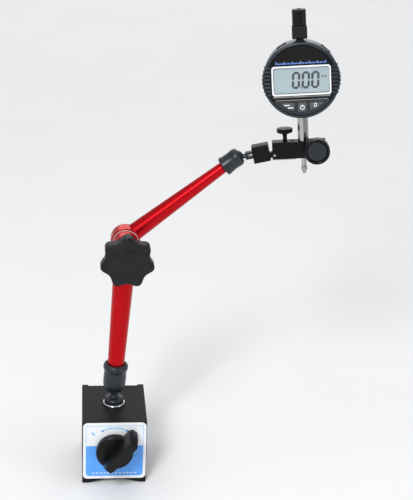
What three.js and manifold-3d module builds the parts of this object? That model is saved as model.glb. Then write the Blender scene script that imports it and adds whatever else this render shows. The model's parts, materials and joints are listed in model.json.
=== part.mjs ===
// Digital indicator on a switchable magnetic base, carried by a three-joint locking arm.
// Millimetres, +Z up, and -Y is the front. Every piece is placed in one design frame whose
// origin is the middle of the base's footprint, and the whole assembly is centred at the end.
import * as THREE from 'three';
import { mergeVertices } from 'three/addons/utils/BufferGeometryUtils.js';
import Module from 'manifold-3d';

const wasm = await Module();
wasm.setup();

// ---------------------------------------------------------------- driving dimensions
const DEG = Math.PI / 180;
const GAP = 0.3; // clearance between pieces that touch
const FAR = 40; // reach of a cut that passes right through

// Magnetic base
const BASE = { width: 50, height: 55, front: -29.3, rear: 30, chamfer: 0.8 };
const GROOVE = { width: 40, slope: 15 * DEG }; // vee under the base, for round bars
const PAD = { width: 5, depth: 2 }; // raised strips at the two rear corners
const BORE = { radius: 16, height: 31 }; // tunnel for the rotating magnet
const DIVIDER = { thickness: 2.4, studClearance: 4.6, floor: 5.3 };
const STUD_HOLE_RADIUS = 4.3;
const REAR_COVER = { width: 38, height: 44, thickness: 1.2, corner: 2 };
const PLATE = { width: 49, height: 50, thickness: 1, corner: 3.5, middle: 29.6 };
const WASHER = { inner: 4.4, outer: 8.8, thickness: 1.5 };

// Switch, along the bore's axis
const DISC = { radius: 14.5, height: 6, chamfer: 1 };
const GRIP = { reach: 24, tail: 12.5, halfWidth: 4.8, foot: 2.5, top: 21 };
const OFF_ANGLE = -41 * DEG;
const MAGNET = { radius: 15.5, back: -26.5, front: 28.6 };
const SHAFT = { radius: 4, back: 14, intoKnob: 10.6 };

// Lower ball joint and lower arm
const LOWER_BALL = { height: 72.5, radius: 7.5 };
const STUD = { bottom: 48, shoulder: 57.1, radius: 4, hexRadius: 7.8, hexTop: 59.6, neckRadius: 2.9 };
const LOWER_ARM = { lean: 3.52 * DEG, length: 117.1, tipRadius: 6.5, rootRadius: 8.4, bore: 3.6 };
const LOWER_NECK = { radius: 7.6, length: 10.5 }; // narrower where the tube meets its head
const LOWER_HEAD = { radius: 10, front: -7.7, shoulder: 0.5, back: 8, crown: 4.5 };
const ELBOW_WASHER = { back: -8.6, front: -8.0, overhang: 0.3 };

// Elbow and upper arm
const BOLT_RADIUS = 3;
const STAR = { lobes: 7, outer: 20.3, inner: 16.9, front: 31, back: 21.3, bevel: 1.1, bevelDepth: 1.6 };
const STAR_CAP = { radius: 9.4, recess: 9.9 };
const UPPER_ARM = { slope: 38.9 * DEG, length: 105.5, offset: 16.5, bore: 2.1 };
const UPPER_TUBE = { rootRadius: 7, tipRadius: 4.2 };
const UPPER_HEAD = { radius: 11.3, front: -8.9, back: -26, dome: 8 };
const UPPER_BALL = { radius: 5.6, neckRadius: 1.7, neckEnd: 8.2 };

// Pivot link and clamp
const HEAD_TURN = { yaw: -9 * DEG, pitch: -4.2 * DEG, roll: -15.2 * DEG }; // how the ball joint is set
const SHANK = { from: 7, half: 2.75, slotFrom: 9.4, slotHalf: 0.8, holeRadius: 2 };
const PIVOT_BLOCK = { left: 12.65, right: 25.35, halfHeight: 6.5, halfDepth: 5, chamfer: 1 };
const TONGUE = { reach: 11, half: 2.2, halfThickness: 2 };
const PIVOT = { x: 28.8, z: -2.9, bend: 9 * DEG, pinRadius: 1, pinClearance: 0.15 };
const CLAMP = { left: -1.7, right: 38.1, bottom: -3.3, top: 9.6, halfDepth: 5, chamfer: 0.8 };
const TONGUE_SLOT = { right: 12.5, half: 2.4, top: 5.8 };
const FINE_SCREW = { x: 8.1, radius: 1.6, bottom: 4.2, headRadius: 6, headBottom: 15.9, headTop: 17.8 };
const SET_SCREW = { x: 13.6, radius: 1.5, bottom: 7, top: 9, hexagon: 1.5 };
const STEM_CENTRE = { x: 21.7, z: 3.15 };
const CLAMP_SCREW = { x: 31.3, z: 3.9, radius: 2, nutHexagon: 7, nutThickness: 2.9 };
const CLAMP_KNOB = { radius: 9.5, front: 17, back: 9.2, hubRadius: 6, hubBack: 5.3, rimInner: 7.3 };
const LEAF_SPRING = { right: 15.5, half: 3.4, thickness: 0.6 };

// Indicator, on the stem's axis, measured from the middle of the clamp's stem hole
const STEM = { radius: 4, bottom: -0.1 };
const DIAL = { height: 53.2, radius: 28.7, front: 12, bezelBack: 7.6, skirt: 3.2 };
const CASE = { radius: 27.4, back: -9.5, wall: 1.8, rimOuter: 24.4, rimInner: 23.4, rimTop: 8.2 };
const COVER = { radius: 26.8, thickness: 1.6, screwCircle: 20.5, screwRadius: 1.6 };
const SIDE_BLOCK = { from: 24.8, proud: 0.5, back: -5.5, front: 0.8 };
const BATTERY_DRAWER = { angle: 47, width: 8.8 };
const DATA_PORT = { angle: 120, width: 7.8 };
const BATTERY = { x: -11, z: 6, radius: 8, back: -7.2, front: -4.2 };
const BOSS = { halfWidth: 5.5, halfDepth: 4.6, top: 91.2, neckRadius: 2.9 };
const CAP = { radius: 5.1, top: 103, bore: 2.6, chamfer: 0.6, tipRadius: 1.6, tipHeight: 0.6 };
const SPINDLE = { radius: 1.9, bottom: -12.9, top: 84 };
const CONTACT = { ballRadius: 1.5, holderRadius: 2.25, holderHeight: 3, tip: -19.2 };
const SCALE = { half: 2, back: -3.2, front: -2.3, fromDial: [-22, -6] };
const SPRING = { from: 8, to: 21, radius: 3.1, wireRadius: 0.35, turns: 4, stepsPerTurn: 9 };

// Indicator face, seen from the front about the dial's centre
const BEZEL = { inner: 25.6, outer: 27.8, lipInner: 25.9, lipMiddle: 26.2, skirtInner: 27.7, round: 2 };
const RIBS = { count: 8, pitch: 2.8, halfWidth: 0.8, depth: 3.5 };
const PANEL = { radius: 25.3, back: 9.8, front: 11.1 };
const WINDOW = { width: 43, height: 21.7, border: 2.4, corner: 2.2, proud: 0.6 };
const DISPLAY = { halfWidth: 20, halfHeight: 9, back: 8, front: 9.5 };
const BOARD = { radius: 22.2, back: 5, front: 6.4 };
const BUTTONS = { top: -16, innerX: 5.4, outerX: 15.6, middleX: 3.1, reach: 22.9, back: 9.2, front: 11.9 };

// Middle of the assembly's overall width and depth, which becomes the origin.
const CENTRE = { x: 68.44, y: -11 };

// ---------------------------------------------------------------- geometry helpers
function toSolid(geometry) {
  const bare = geometry.clone();
  bare.deleteAttribute('normal');
  bare.deleteAttribute('uv');
  const merged = mergeVertices(bare, 1e-4);
  const source = merged.index.array;
  const kept = [];
  for (let i = 0; i < source.length; i += 3) {
    const [a, b, c] = [source[i], source[i + 1], source[i + 2]];
    if (a !== b && b !== c && c !== a) kept.push(a, b, c);
  }
  return new wasm.Manifold(new wasm.Mesh({
    numProp: 3,
    vertProperties: new Float32Array(merged.attributes.position.array),
    triVerts: new Uint32Array(kept),
  }));
}

function toGeometry(solid) {
  const mesh = solid.getMesh();
  const geometry = new THREE.BufferGeometry();
  geometry.setAttribute('position', new THREE.BufferAttribute(new Float32Array(mesh.vertProperties), 3));
  geometry.setIndex(new THREE.BufferAttribute(new Uint32Array(mesh.triVerts), 1));
  geometry.computeVertexNormals();
  return geometry;
}

// Joins the first list of geometries and cuts the second list from the result.
function carve(joined, cuts = []) {
  let solid = toSolid(joined[0]);
  for (const more of joined.slice(1)) solid = solid.add(toSolid(more));
  for (const cut of cuts) solid = solid.subtract(toSolid(cut));
  return toGeometry(solid);
}

// A solid of revolution about +Z from a profile of [radius, height] points, in either order.
function turned(profile, facets = 20) {
  const points = profile.map(([r, h]) => new THREE.Vector2(r, h));
  if (THREE.ShapeUtils.area(points) < 0) points.reverse();
  return new THREE.LatheGeometry(points, facets).rotateX(Math.PI / 2);
}

function rod(radius, from, to, facets = 16) {
  return turned([[0, from], [radius, from], [radius, to], [0, to]], facets);
}

function ring(inner, outer, from, to, facets = 20) {
  return turned([[inner, from], [outer, from], [outer, to], [inner, to], [inner, from]], facets);
}

// Points of an elliptical arc in a profile, angles in degrees from the radius axis.
function arc(r, h, across, tall, start, end, steps) {
  return Array.from({ length: steps + 1 }, (_, i) => {
    const angle = (start + ((end - start) * i) / steps) * DEG;
    return [r + across * Math.cos(angle), h + tall * Math.sin(angle)];
  });
}

// Turns a geometry built along +Z so that its +Z points to the front (-Y) and its +Y up.
function facing(geometry) {
  return geometry.rotateX(Math.PI / 2);
}

function box(x0, x1, y0, y1, z0, z1) {
  const geometry = new THREE.BoxGeometry(x1 - x0, y1 - y0, z1 - z0);
  return geometry.translate((x0 + x1) / 2, (y0 + y1) / 2, (z0 + z1) / 2);
}

function roundedRectangle(width, height, corner) {
  const [x, y] = [width / 2 - corner, height / 2 - corner];
  const shape = new THREE.Shape();
  shape.absarc(x, -y, corner, -Math.PI / 2, 0);
  shape.absarc(x, y, corner, 0, Math.PI / 2);
  shape.absarc(-x, y, corner, Math.PI / 2, Math.PI);
  shape.absarc(-x, -y, corner, Math.PI, Math.PI * 1.5);
  shape.closePath();
  return shape;
}

function polygon(points) {
  return new THREE.Shape(points.map(([x, y]) => new THREE.Vector2(x, y)));
}

function extruded(shape, from, to) {
  const options = { depth: to - from, bevelEnabled: false, curveSegments: 4 };
  return new THREE.ExtrudeGeometry(shape, options).translate(0, 0, from);
}

function hexagon(acrossFlats) {
  const radius = acrossFlats / Math.sqrt(3);
  return polygon(Array.from({ length: 6 }, (_, i) => {
    return [radius * Math.cos(i * 60 * DEG), radius * Math.sin(i * 60 * DEG)];
  }));
}

// ---------------------------------------------------------------- materials
function finish(color, roughness, metalness) {
  return () => new THREE.MeshStandardMaterial({ color, roughness, metalness });
}
const blackPaint = finish(0x26282a, 0.62, 0.2);
const blackPlastic = finish(0x1b1c1e, 0.45, 0);
const slateMetal = finish(0x34383d, 0.4, 0.6);
const redAnodised = finish(0xb3181e, 0.28, 0.75);
const polishedSteel = finish(0xc9ccd0, 0.18, 1);
const springSteel = finish(0x9a9da0, 0.3, 1);
const brightZinc = finish(0xe2e4e6, 0.15, 1);
const brass = finish(0xb8954a, 0.35, 1);
const darkMagnet = finish(0x4a4b50, 0.5, 0.7);
const whiteEnamel = finish(0xf2f4f5, 0.35, 0);
const paleNylon = finish(0xe6e0d6, 0.5, 0);
const bezelPlastic = finish(0x2f3840, 0.5, 0);
const glossBlack = finish(0x101114, 0.15, 0);
const buttonRubber = finish(0x44474b, 0.6, 0);
const greyAluminium = finish(0xb4b7ba, 0.35, 0.9);
const displayGrey = finish(0xa5b9be, 0.3, 0);
const boardGreen = finish(0x1f5a3a, 0.6, 0);

function add(parent, name, material, geometry) {
  const mesh = new THREE.Mesh(geometry, material());
  mesh.name = name;
  parent.add(mesh);
  return mesh;
}

function frame(parent, x, y, z) {
  const group = new THREE.Group();
  group.position.set(x, y, z);
  parent.add(group);
  return group;
}

// ---------------------------------------------------------------- magnetic base
function poleCuts() {
  const half = GROOVE.width / 2;
  const depth = half * Math.tan(GROOVE.slope);
  const groove = polygon([[-half, 0], [-half, -5], [half, -5], [half, 0], [0, depth]]);
  const channelHalf = BASE.width / 2 - PAD.width;
  return [
    facing(extruded(groove, -FAR, FAR)),
    facing(rod(BORE.radius, -FAR, FAR, 32)).translate(0, 0, BORE.height),
    box(-channelHalf, channelHalf, BASE.rear - PAD.depth, FAR, -1, BASE.height + 5),
    rod(STUD_HOLE_RADIUS, FAR, BASE.height + 5),
  ];
}

function pole(side) {
  const inner = DIVIDER.thickness / 2 + GAP;
  const outer = BASE.width / 2;
  const { height, chamfer } = BASE;
  const outline = [
    [inner, 0], [outer - chamfer, 0], [outer, chamfer], [outer, height - chamfer],
    [outer - chamfer, height], [inner, height],
  ];
  const placed = side > 0 ? outline : outline.map(([x, z]) => [-x, z]).reverse();
  const block = facing(extruded(polygon(placed), -BASE.rear, -BASE.front));
  return carve([block], poleCuts());
}

function buildDividers(parent) {
  const half = DIVIDER.thickness / 2;
  const rear = BASE.rear - PAD.depth;
  const { front, height } = BASE;
  const top = BORE.height + BORE.radius;
  const bottom = BORE.height - BORE.radius;
  const clear = DIVIDER.studClearance;
  add(parent, 'divider_top_front', brass, box(-half, half, front, -clear, top, height));
  add(parent, 'divider_top_rear', brass, box(-half, half, clear, rear, top, height));
  add(parent, 'divider_bottom', brass, box(-half, half, front, rear, DIVIDER.floor, bottom));
}

function buildBase(parent) {
  add(parent, 'pole_right', blackPaint, pole(1));
  add(parent, 'pole_left', blackPaint, pole(-1));
  buildDividers(parent);

  const rear = BASE.rear - PAD.depth + GAP;
  const coverShape = roundedRectangle(REAR_COVER.width, REAR_COVER.height, REAR_COVER.corner);
  const cover = carve([facing(extruded(coverShape, -rear - REAR_COVER.thickness, -rear))]);
  add(parent, 'rear_cover', blackPaint, cover).position.z = BORE.height - 1;

  const plateBack = -BASE.front + GAP;
  const plateShape = roundedRectangle(PLATE.width, PLATE.height, PLATE.corner);
  const plate = facing(extruded(plateShape, plateBack, plateBack + PLATE.thickness));
  const shaftHole = facing(rod(SHAFT.radius + 1, 0, FAR)).translate(0, 0, BORE.height - PLATE.middle);
  add(parent, 'front_plate', whiteEnamel, carve([plate], [shaftHole])).position.z = PLATE.middle;

  const seat = BASE.height + GAP;
  add(parent, 'stud_washer', brightZinc, ring(WASHER.inner, WASHER.outer, seat, seat + WASHER.thickness));
}

// The grip is a bar with a blunt long end and a pointed short one.
function gripOutline() {
  const { reach, tail, halfWidth } = GRIP;
  const [blunt, point] = [3, 8]; // how far each end's taper runs
  return polygon([
    [-halfWidth, reach - blunt], [-halfWidth + 2.5, reach], [halfWidth - 2.5, reach],
    [halfWidth, reach - blunt], [halfWidth, -tail + point], [0.8, -tail], [-0.8, -tail],
    [-halfWidth, -tail + point],
  ]);
}

// A cut that slopes one end of the grip, from its top down towards the disc.
function endSlope(length, run, low) {
  const from = length - run;
  const slope = polygon([[from, FAR], [from, GRIP.top], [length + 1, low], [length + 9, FAR]]);
  return extruded(slope, -10, 10).rotateX(Math.PI / 2).rotateZ(Math.PI / 2);
}

// The switch turns on the bore's axis. Its frame looks at the plate: X right, Y up, Z out.
function buildSwitch(parent) {
  const group = frame(parent, 0, 0, BORE.height);
  group.rotation.x = Math.PI / 2;
  const face = -BASE.front + GAP + PLATE.thickness + 0.4;
  const grip = extruded(gripOutline(), GRIP.foot, GRIP.top);
  const { radius, height, chamfer } = DISC;
  const disc = turned([
    [0, 0], [radius, 0], [radius, height - chamfer], [radius - chamfer, height], [0, height],
  ], 36);
  const slopes = [endSlope(GRIP.reach, 4, 12), endSlope(GRIP.tail, 5, 9).rotateZ(Math.PI)];
  const socket = rod(SHAFT.radius + GAP, -1, SHAFT.intoKnob + GAP);
  const knob = carve([disc, grip], [socket, ...slopes]);
  add(group, 'switch_knob', blackPlastic, knob.rotateZ(OFF_ANGLE).translate(0, 0, face));

  const shaft = rod(SHAFT.radius, SHAFT.back, face + SHAFT.intoKnob, 20);
  add(group, 'rotor_shaft', polishedSteel, shaft);
  const magnet = rod(MAGNET.radius, MAGNET.back, MAGNET.front, 28);
  const shaftSeat = rod(SHAFT.radius + GAP, SHAFT.back - 0.5, FAR, 20);
  add(group, 'rotor_magnet', darkMagnet, carve([magnet], [shaftSeat]));
}

// ---------------------------------------------------------------- ball joints and arms
function buildLowerBall(parent) {
  const { height, radius } = LOWER_BALL;
  const { bottom, shoulder, hexRadius, hexTop, neckRadius } = STUD;
  const start = Math.asin(neckRadius / radius) / DEG - 90;
  add(parent, 'lower_ball_stud', slateMetal, turned([
    [0, bottom], [STUD.radius, bottom], [STUD.radius, shoulder], [hexRadius, shoulder],
    [hexRadius, hexTop], ...arc(0, hexTop, hexRadius, 2.2, 0, 54, 2),
    [neckRadius + 0.5, hexTop + 2.3], [neckRadius, hexTop + 4.6],
    ...arc(0, height, radius, radius, start, 90, 8),
  ]));
}

// A cup that presses on a ball of the given radius, centred on the origin, from above.
function ballSeat(ballRadius, outer, top) {
  const cup = ballRadius + GAP;
  const edge = Math.acos((outer - 0.9) / cup) / DEG;
  return turned([
    ...arc(0, 0, cup, cup, edge, 90, 3).reverse(),
    [outer, cup * Math.sin(edge * DEG)], [outer, top], [0, top],
  ], 20);
}

function lowerArmTube() {
  const { length, tipRadius, rootRadius, bore } = LOWER_ARM;
  const { radius, front, shoulder, crown, back } = LOWER_HEAD;
  const spigot = tipRadius - 0.4; // runs inside the collar
  const neck = LOWER_NECK;
  const tube = turned([
    [0, 10.2], [spigot, 10.2], [spigot, 17.6], [tipRadius, 18.2], [rootRadius, length - neck.length - 1.2],
    [neck.radius, length - neck.length], [neck.radius, length - 3], [0, length - 3],
  ], 28);
  const head = facing(turned([
    [0, front], [radius - 0.5, front], [radius, front + 0.5], [radius, shoulder],
    ...arc(radius - crown, shoulder, crown, back - shoulder, 0, 80, 4), [0, back],
  ], 28)).translate(0, 0, length);
  const boltHole = facing(rod(BOLT_RADIUS + GAP, -FAR, FAR)).translate(0, 0, length);
  return carve([tube, head], [rod(bore, 0, length), boltHole]);
}

function buildLowerArm(parent) {
  const group = frame(parent, 0, 0, LOWER_BALL.height);
  group.rotation.y = LOWER_ARM.lean;
  const { length, bore } = LOWER_ARM;
  add(group, 'lower_arm_tube', redAnodised, lowerArmTube());
  add(group, 'lower_ball_seat', paleNylon, ballSeat(LOWER_BALL.radius, 7.2, 9.6));
  add(group, 'lower_push_rod', polishedSteel, rod(bore - GAP, 10, length - 4, 16));

  const cup = LOWER_BALL.radius + GAP;
  add(group, 'lower_collar', slateMetal, turned([
    [6.5, -4.3], [7.1, -4.3], [8.5, -1.2], [8.9, 0.5], [8.9, 6], [8.8, 11], [9.0, 14.2],
    [9.5, 15.9], [8.3, 18], [7.4, 18.4], [6.9, 16.9],
    [6.9, 9.9], [cup, 9.9], [cup, 0.6], ...arc(0, 0, cup, cup, -3, -30, 2), [6.5, -4.3],
  ]));
  const washerRadius = LOWER_HEAD.radius + ELBOW_WASHER.overhang;
  const washer = ring(BOLT_RADIUS + GAP, washerRadius, ELBOW_WASHER.back, ELBOW_WASHER.front, 28);
  add(group, 'elbow_washer', paleNylon, facing(washer).translate(0, 0, length));
}

function elbowCentre() {
  const { lean, length } = LOWER_ARM;
  return [length * Math.sin(lean), 0, LOWER_BALL.height + length * Math.cos(lean)];
}

// Outline of the star knob: rounded lobes between wide scallops, with one lobe straight up.
function starOutline(inset) {
  const { lobes, outer, inner } = STAR;
  const count = lobes * 8;
  return polygon(Array.from({ length: count }, (_, i) => {
    const angle = (i / count) * 2 * Math.PI;
    const lobe = ((1 + Math.cos(lobes * angle)) / 2) ** 1.25;
    const radius = inner + (outer - inner) * lobe - inset;
    return [radius * Math.sin(angle), radius * Math.cos(angle)];
  }));
}

function buildElbowKnob(parent) {
  const group = frame(parent, ...elbowCentre());
  group.rotation.x = Math.PI / 2;
  const { front, back, bevel, bevelDepth } = STAR;
  const star = new THREE.ExtrudeGeometry(starOutline(bevel), {
    depth: front - back - 2 * bevelDepth,
    bevelEnabled: true,
    bevelThickness: bevelDepth,
    bevelSize: bevel,
    bevelSegments: 1,
  }).translate(0, 0, back + bevelDepth);
  const hub = turned([[0, 8.4], [6.4, 8.4], [7.6, 12], [9.6, back + 0.5], [0, back + 0.5]]);
  const recess = rod(STAR_CAP.recess, front - 1.2, FAR);
  const boltHole = rod(BOLT_RADIUS + GAP, 0, front - 3);
  add(group, 'star_knob', blackPlastic, carve([star, hub], [recess, boltHole]));
  add(group, 'star_knob_cap', blackPlastic, turned([
    [0, front - 0.9], [STAR_CAP.radius, front - 0.9], [STAR_CAP.radius, front],
    ...arc(0, front, STAR_CAP.radius - 0.2, 0.9, 10, 90, 3),
  ]));
  add(group, 'elbow_bolt', polishedSteel, rod(BOLT_RADIUS, UPPER_HEAD.back + 3.5, front - 3.5, 20));
}

function upperArmTube() {
  const { length, offset, bore } = UPPER_ARM;
  const { rootRadius, tipRadius } = UPPER_TUBE;
  const { radius, front, back, dome } = UPPER_HEAD;
  const spigot = tipRadius - 0.4; // runs inside the collar
  const tube = turned([
    [0, 2], [rootRadius, 2], [tipRadius + 0.1, length - 13], [spigot, length - 12.6],
    [spigot, length - 8.6], [0, length - 8.6],
  ]).translate(0, offset, 0);
  const head = facing(turned([
    [0, back], ...arc(0, back + dome, radius, dome, -75, 0, 5), [radius, front - 0.4],
    [radius - 0.4, front], [0, front],
  ], 28));
  const bolt = facing(rod(BOLT_RADIUS + GAP, back + 3, 0));
  const rodBore = rod(bore, 0, length, 20).translate(0, offset, 0);
  return carve([tube, head], [rodBore, bolt]);
}

function buildUpperArm(parent) {
  const group = frame(parent, ...elbowCentre());
  group.rotation.y = Math.PI / 2 - UPPER_ARM.slope;
  const { length, offset, bore } = UPPER_ARM;
  add(group, 'upper_arm_tube', redAnodised, upperArmTube());
  const pushRod = rod(bore - GAP, 4, length - 8.2, 16);
  add(group, 'upper_push_rod', polishedSteel, pushRod.translate(0, offset, 0));

  const atBall = new THREE.Matrix4().makeTranslation(0, offset, length);
  const seat = ballSeat(UPPER_BALL.radius, 5.3, 7.6).rotateX(Math.PI);
  add(group, 'upper_ball_seat', paleNylon, seat.applyMatrix4(atBall));
  const cup = UPPER_BALL.radius + GAP;
  const collar = turned([
    [4.7, 3.4], [5.4, 3.4], [6.9, 1.6], [7.1, 0], [6.8, -4.5], [7.2, -9], [7.5, -11],
    [6.9, -12], [4.9, -12], [4.5, -11.4], [4.5, -8.1], [cup, -8.1], [cup, -0.6],
    ...arc(0, 0, cup, cup, -4, 34, 2), [4.7, 3.4],
  ]);
  add(group, 'upper_collar', slateMetal, collar.applyMatrix4(atBall));
}

function upperBallCentre() {
  const [x, , z] = elbowCentre();
  const { slope, length, offset } = UPPER_ARM;
  return [x + length * Math.cos(slope), offset, z + length * Math.sin(slope)];
}

// ---------------------------------------------------------------- pivot link and clamp
function pinHole() {
  return facing(rod(PIVOT.pinRadius + PIVOT.pinClearance, -10, 10, 16));
}

function pivotBlock() {
  const { left, right, halfHeight: high, halfDepth, chamfer: cut } = PIVOT_BLOCK;
  const outline = polygon([
    [left, cut - high], [left + cut, -high], [right - cut, -high], [right, cut - high],
    [right, high - cut], [right - cut, high], [left + cut, high], [left, high - cut],
  ]);
  const end = PIVOT.x + TONGUE.reach;
  const [low, top] = [PIVOT.z - TONGUE.half, PIVOT.z + TONGUE.half];
  const tongue = polygon([[right - 1, low], [end, low + 0.6], [end, top], [right - 1, top]]);
  const body = facing(extruded(outline, -halfDepth, halfDepth));
  const blade = facing(extruded(tongue, -TONGUE.halfThickness, TONGUE.halfThickness));
  const room = SHANK.half + GAP;
  const socket = box(left - 1, left + 1.5 + GAP, -room, room, -room, room);
  return carve([body, blade], [pinHole().translate(PIVOT.x, 0, PIVOT.z), socket]);
}

// The link's frame sits at the upper ball with +X along the slotted stem.
function buildLink(parent) {
  const group = frame(parent, ...upperBallCentre());
  group.rotation.set(HEAD_TURN.pitch, HEAD_TURN.roll, HEAD_TURN.yaw, 'ZXY');
  const { radius, neckRadius, neckEnd } = UPPER_BALL;
  const start = 90 - Math.asin(neckRadius / radius) / DEG;
  const sphere = arc(0, 0, radius, radius, -90, start, 8);
  const ball = turned([...sphere, [neckRadius, neckEnd], [0, neckEnd]], 20);
  add(group, 'upper_ball', slateMetal, ball.rotateY(Math.PI / 2));

  const { from, half, slotFrom, slotHalf, holeRadius } = SHANK;
  const end = PIVOT_BLOCK.left + 1.5;
  const shank = box(from, end, -half, half, -half, half);
  const slot = box(slotFrom, end + 1, -half - 1, half + 1, -slotHalf, slotHalf);
  const neckHole = rod(holeRadius, 0, neckEnd + 0.4, 20).rotateY(Math.PI / 2);
  add(group, 'slotted_stem', slateMetal, carve([shank], [slot, neckHole]));
  add(group, 'pivot_block', blackPaint, pivotBlock());
  return group;
}

function clampBlock() {
  const { left, right, bottom, top, halfDepth, chamfer } = CLAMP;
  const outline = polygon([
    [left, bottom], [right - chamfer, bottom], [right, bottom + chamfer], [right, top - chamfer],
    [right - chamfer, top], [left + chamfer, top], [left, top - chamfer],
  ]);
  const slot = TONGUE_SLOT;
  return carve([facing(extruded(outline, -halfDepth, halfDepth))], [
    box(left - 1, slot.right, -slot.half, slot.half, bottom - 1, slot.top),
    box(STEM_CENTRE.x, right + 1, -0.6, 0.6, bottom - 1, top + 1), // slit that lets the clamp close
    rod(STEM.radius + GAP, -10, 20, 24).translate(STEM_CENTRE.x, 0, 0),
    rod(FINE_SCREW.radius + GAP, 4, 20, 20).translate(FINE_SCREW.x, 0, 0),
    rod(SET_SCREW.radius + GAP, SET_SCREW.bottom - 0.4, 20, 20).translate(SET_SCREW.x, 0, 0),
    facing(rod(CLAMP_SCREW.radius + GAP, -10, 10, 20)).translate(CLAMP_SCREW.x, 0, CLAMP_SCREW.z),
    pinHole(),
  ]);
}

function buildClampScrews(group) {
  const set = SET_SCREW;
  const keyHole = extruded(hexagon(set.hexagon), set.top - 1, set.top + 1);
  const setScrew = carve([rod(set.radius, set.bottom, set.top, 20)], [keyHole]);
  add(group, 'set_screw', slateMetal, setScrew.translate(set.x, 0, 0));

  const { nutHexagon, nutThickness } = CLAMP_SCREW;
  const nutFront = -CLAMP.halfDepth - GAP;
  const nut = facing(extruded(hexagon(nutHexagon), nutFront - nutThickness, nutFront));
  const nutHole = facing(rod(CLAMP_SCREW.radius + GAP, -20, 0, 20));
  const placedNut = carve([nut], [nutHole]).translate(CLAMP_SCREW.x, 0, CLAMP_SCREW.z);
  add(group, 'clamp_nut', slateMetal, placedNut);

  const { x, radius, bottom, headRadius, headBottom, headTop } = FINE_SCREW;
  const fineScrew = turned([
    [0, bottom], [radius, bottom], [radius, headBottom], [headRadius - 0.4, headBottom],
    [headRadius, headBottom + 0.4], [headRadius, headTop], ...arc(0, headTop, headRadius, 2, 15, 90, 2),
  ]);
  add(group, 'fine_screw', blackPaint, fineScrew.translate(x, 0, 0));
}

// The clamp's frame sits on the pivot pin, with the stem hole to its right.
function buildClamp(link) {
  const group = frame(link, PIVOT.x, 0, PIVOT.z);
  group.rotation.y = PIVOT.bend;
  const { left, bottom, halfDepth } = CLAMP;
  add(group, 'clamp_block', blackPaint, clampBlock());
  const pin = facing(rod(PIVOT.pinRadius, -halfDepth - 0.4, halfDepth + 0.4, 16));
  add(group, 'pivot_pin', polishedSteel, pin);
  const { right, half, thickness } = LEAF_SPRING;
  const spring = box(left, right, -half, half, bottom - GAP - thickness, bottom - GAP);
  add(group, 'leaf_spring', springSteel, spring);
  buildClampScrews(group);
  return group;
}

function buildClampKnob(clamp) {
  const group = frame(clamp, CLAMP_SCREW.x, 0, CLAMP_SCREW.z);
  group.rotation.x = Math.PI / 2;
  const { radius, front, back, hubRadius, hubBack, rimInner } = CLAMP_KNOB;
  const body = turned([
    [0, hubBack], [hubRadius, hubBack], [hubRadius, back], [radius - 0.8, back], [radius, back + 0.8],
    [radius, front - 1], [radius - 1, front], [rimInner, front], [rimInner - 0.3, front - 1],
    [0, front - 1],
  ], 32);
  const screwHole = rod(CLAMP_SCREW.radius + GAP, 0, front - 4, 20);
  add(group, 'clamp_knob', blackPlastic, carve([body], [screwHole]));
  add(group, 'clamp_screw', polishedSteel, rod(CLAMP_SCREW.radius, -8.6, front - 4.4, 20));
}

// ---------------------------------------------------------------- digital indicator
// A block let into the case's edge at an angle seen from the front, grown for its pocket.
function sideBlock({ angle, width }, grow = 0) {
  const outer = CASE.radius + SIDE_BLOCK.proud + grow * 10;
  const half = width / 2 + grow;
  const [back, front] = [SIDE_BLOCK.back - grow, SIDE_BLOCK.front + grow];
  const block = box(SIDE_BLOCK.from - grow, outer, -half, half, back, front);
  return facing(block.rotateZ(angle * DEG)).translate(0, 0, DIAL.height);
}

function buildCase(group) {
  const { radius, back, wall, rimOuter, rimInner, rimTop } = CASE;
  const shoulder = DIAL.bezelBack - GAP;
  const shell = facing(turned([
    [0, back], [radius - 0.8, back], [radius, back + 0.8], [radius, shoulder], [rimOuter, shoulder],
    [rimOuter, rimTop], [rimInner, rimTop], [rimInner, back + wall], [0, back + wall],
  ], 40)).translate(0, 0, DIAL.height);
  const openings = [
    rod(STEM.radius + GAP, 10, FAR, 24), rod(BOSS.neckRadius + GAP, DIAL.height + 7, 90),
    sideBlock(BATTERY_DRAWER, GAP), sideBlock(DATA_PORT, GAP),
  ];
  add(group, 'gauge_case', greyAluminium, carve([shell], openings));
  add(group, 'battery_drawer', blackPlastic, sideBlock(BATTERY_DRAWER));
  add(group, 'data_port_plug', blackPlastic, sideBlock(DATA_PORT));
}

function buildBackCover(group) {
  const back = CASE.back;
  const { radius, thickness, screwCircle, screwRadius } = COVER;
  const places = [45, 135, 225, 315].map((angle) => {
    return [screwCircle * Math.cos(angle * DEG), screwCircle * Math.sin(angle * DEG)];
  });
  const holes = places.map(([x, y]) => rod(screwRadius + GAP, back - 5, back - 0.9, 12).translate(x, y, 0));
  const cover = carve([rod(radius, back - GAP - thickness, back - GAP, 40)], holes);
  add(group, 'back_cover', blackPlastic, facing(cover).translate(0, 0, DIAL.height));
  places.forEach(([x, y], i) => {
    const slot = box(-3, 3, -0.25, 0.25, back - 5, back - 1.7);
    const screw = carve([rod(screwRadius, back - 2.1, back - 1.2, 12)], [slot]).translate(x, y, 0);
    add(group, `back_screw_${i + 1}`, polishedSteel, facing(screw).translate(0, 0, DIAL.height));
  });
}

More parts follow.
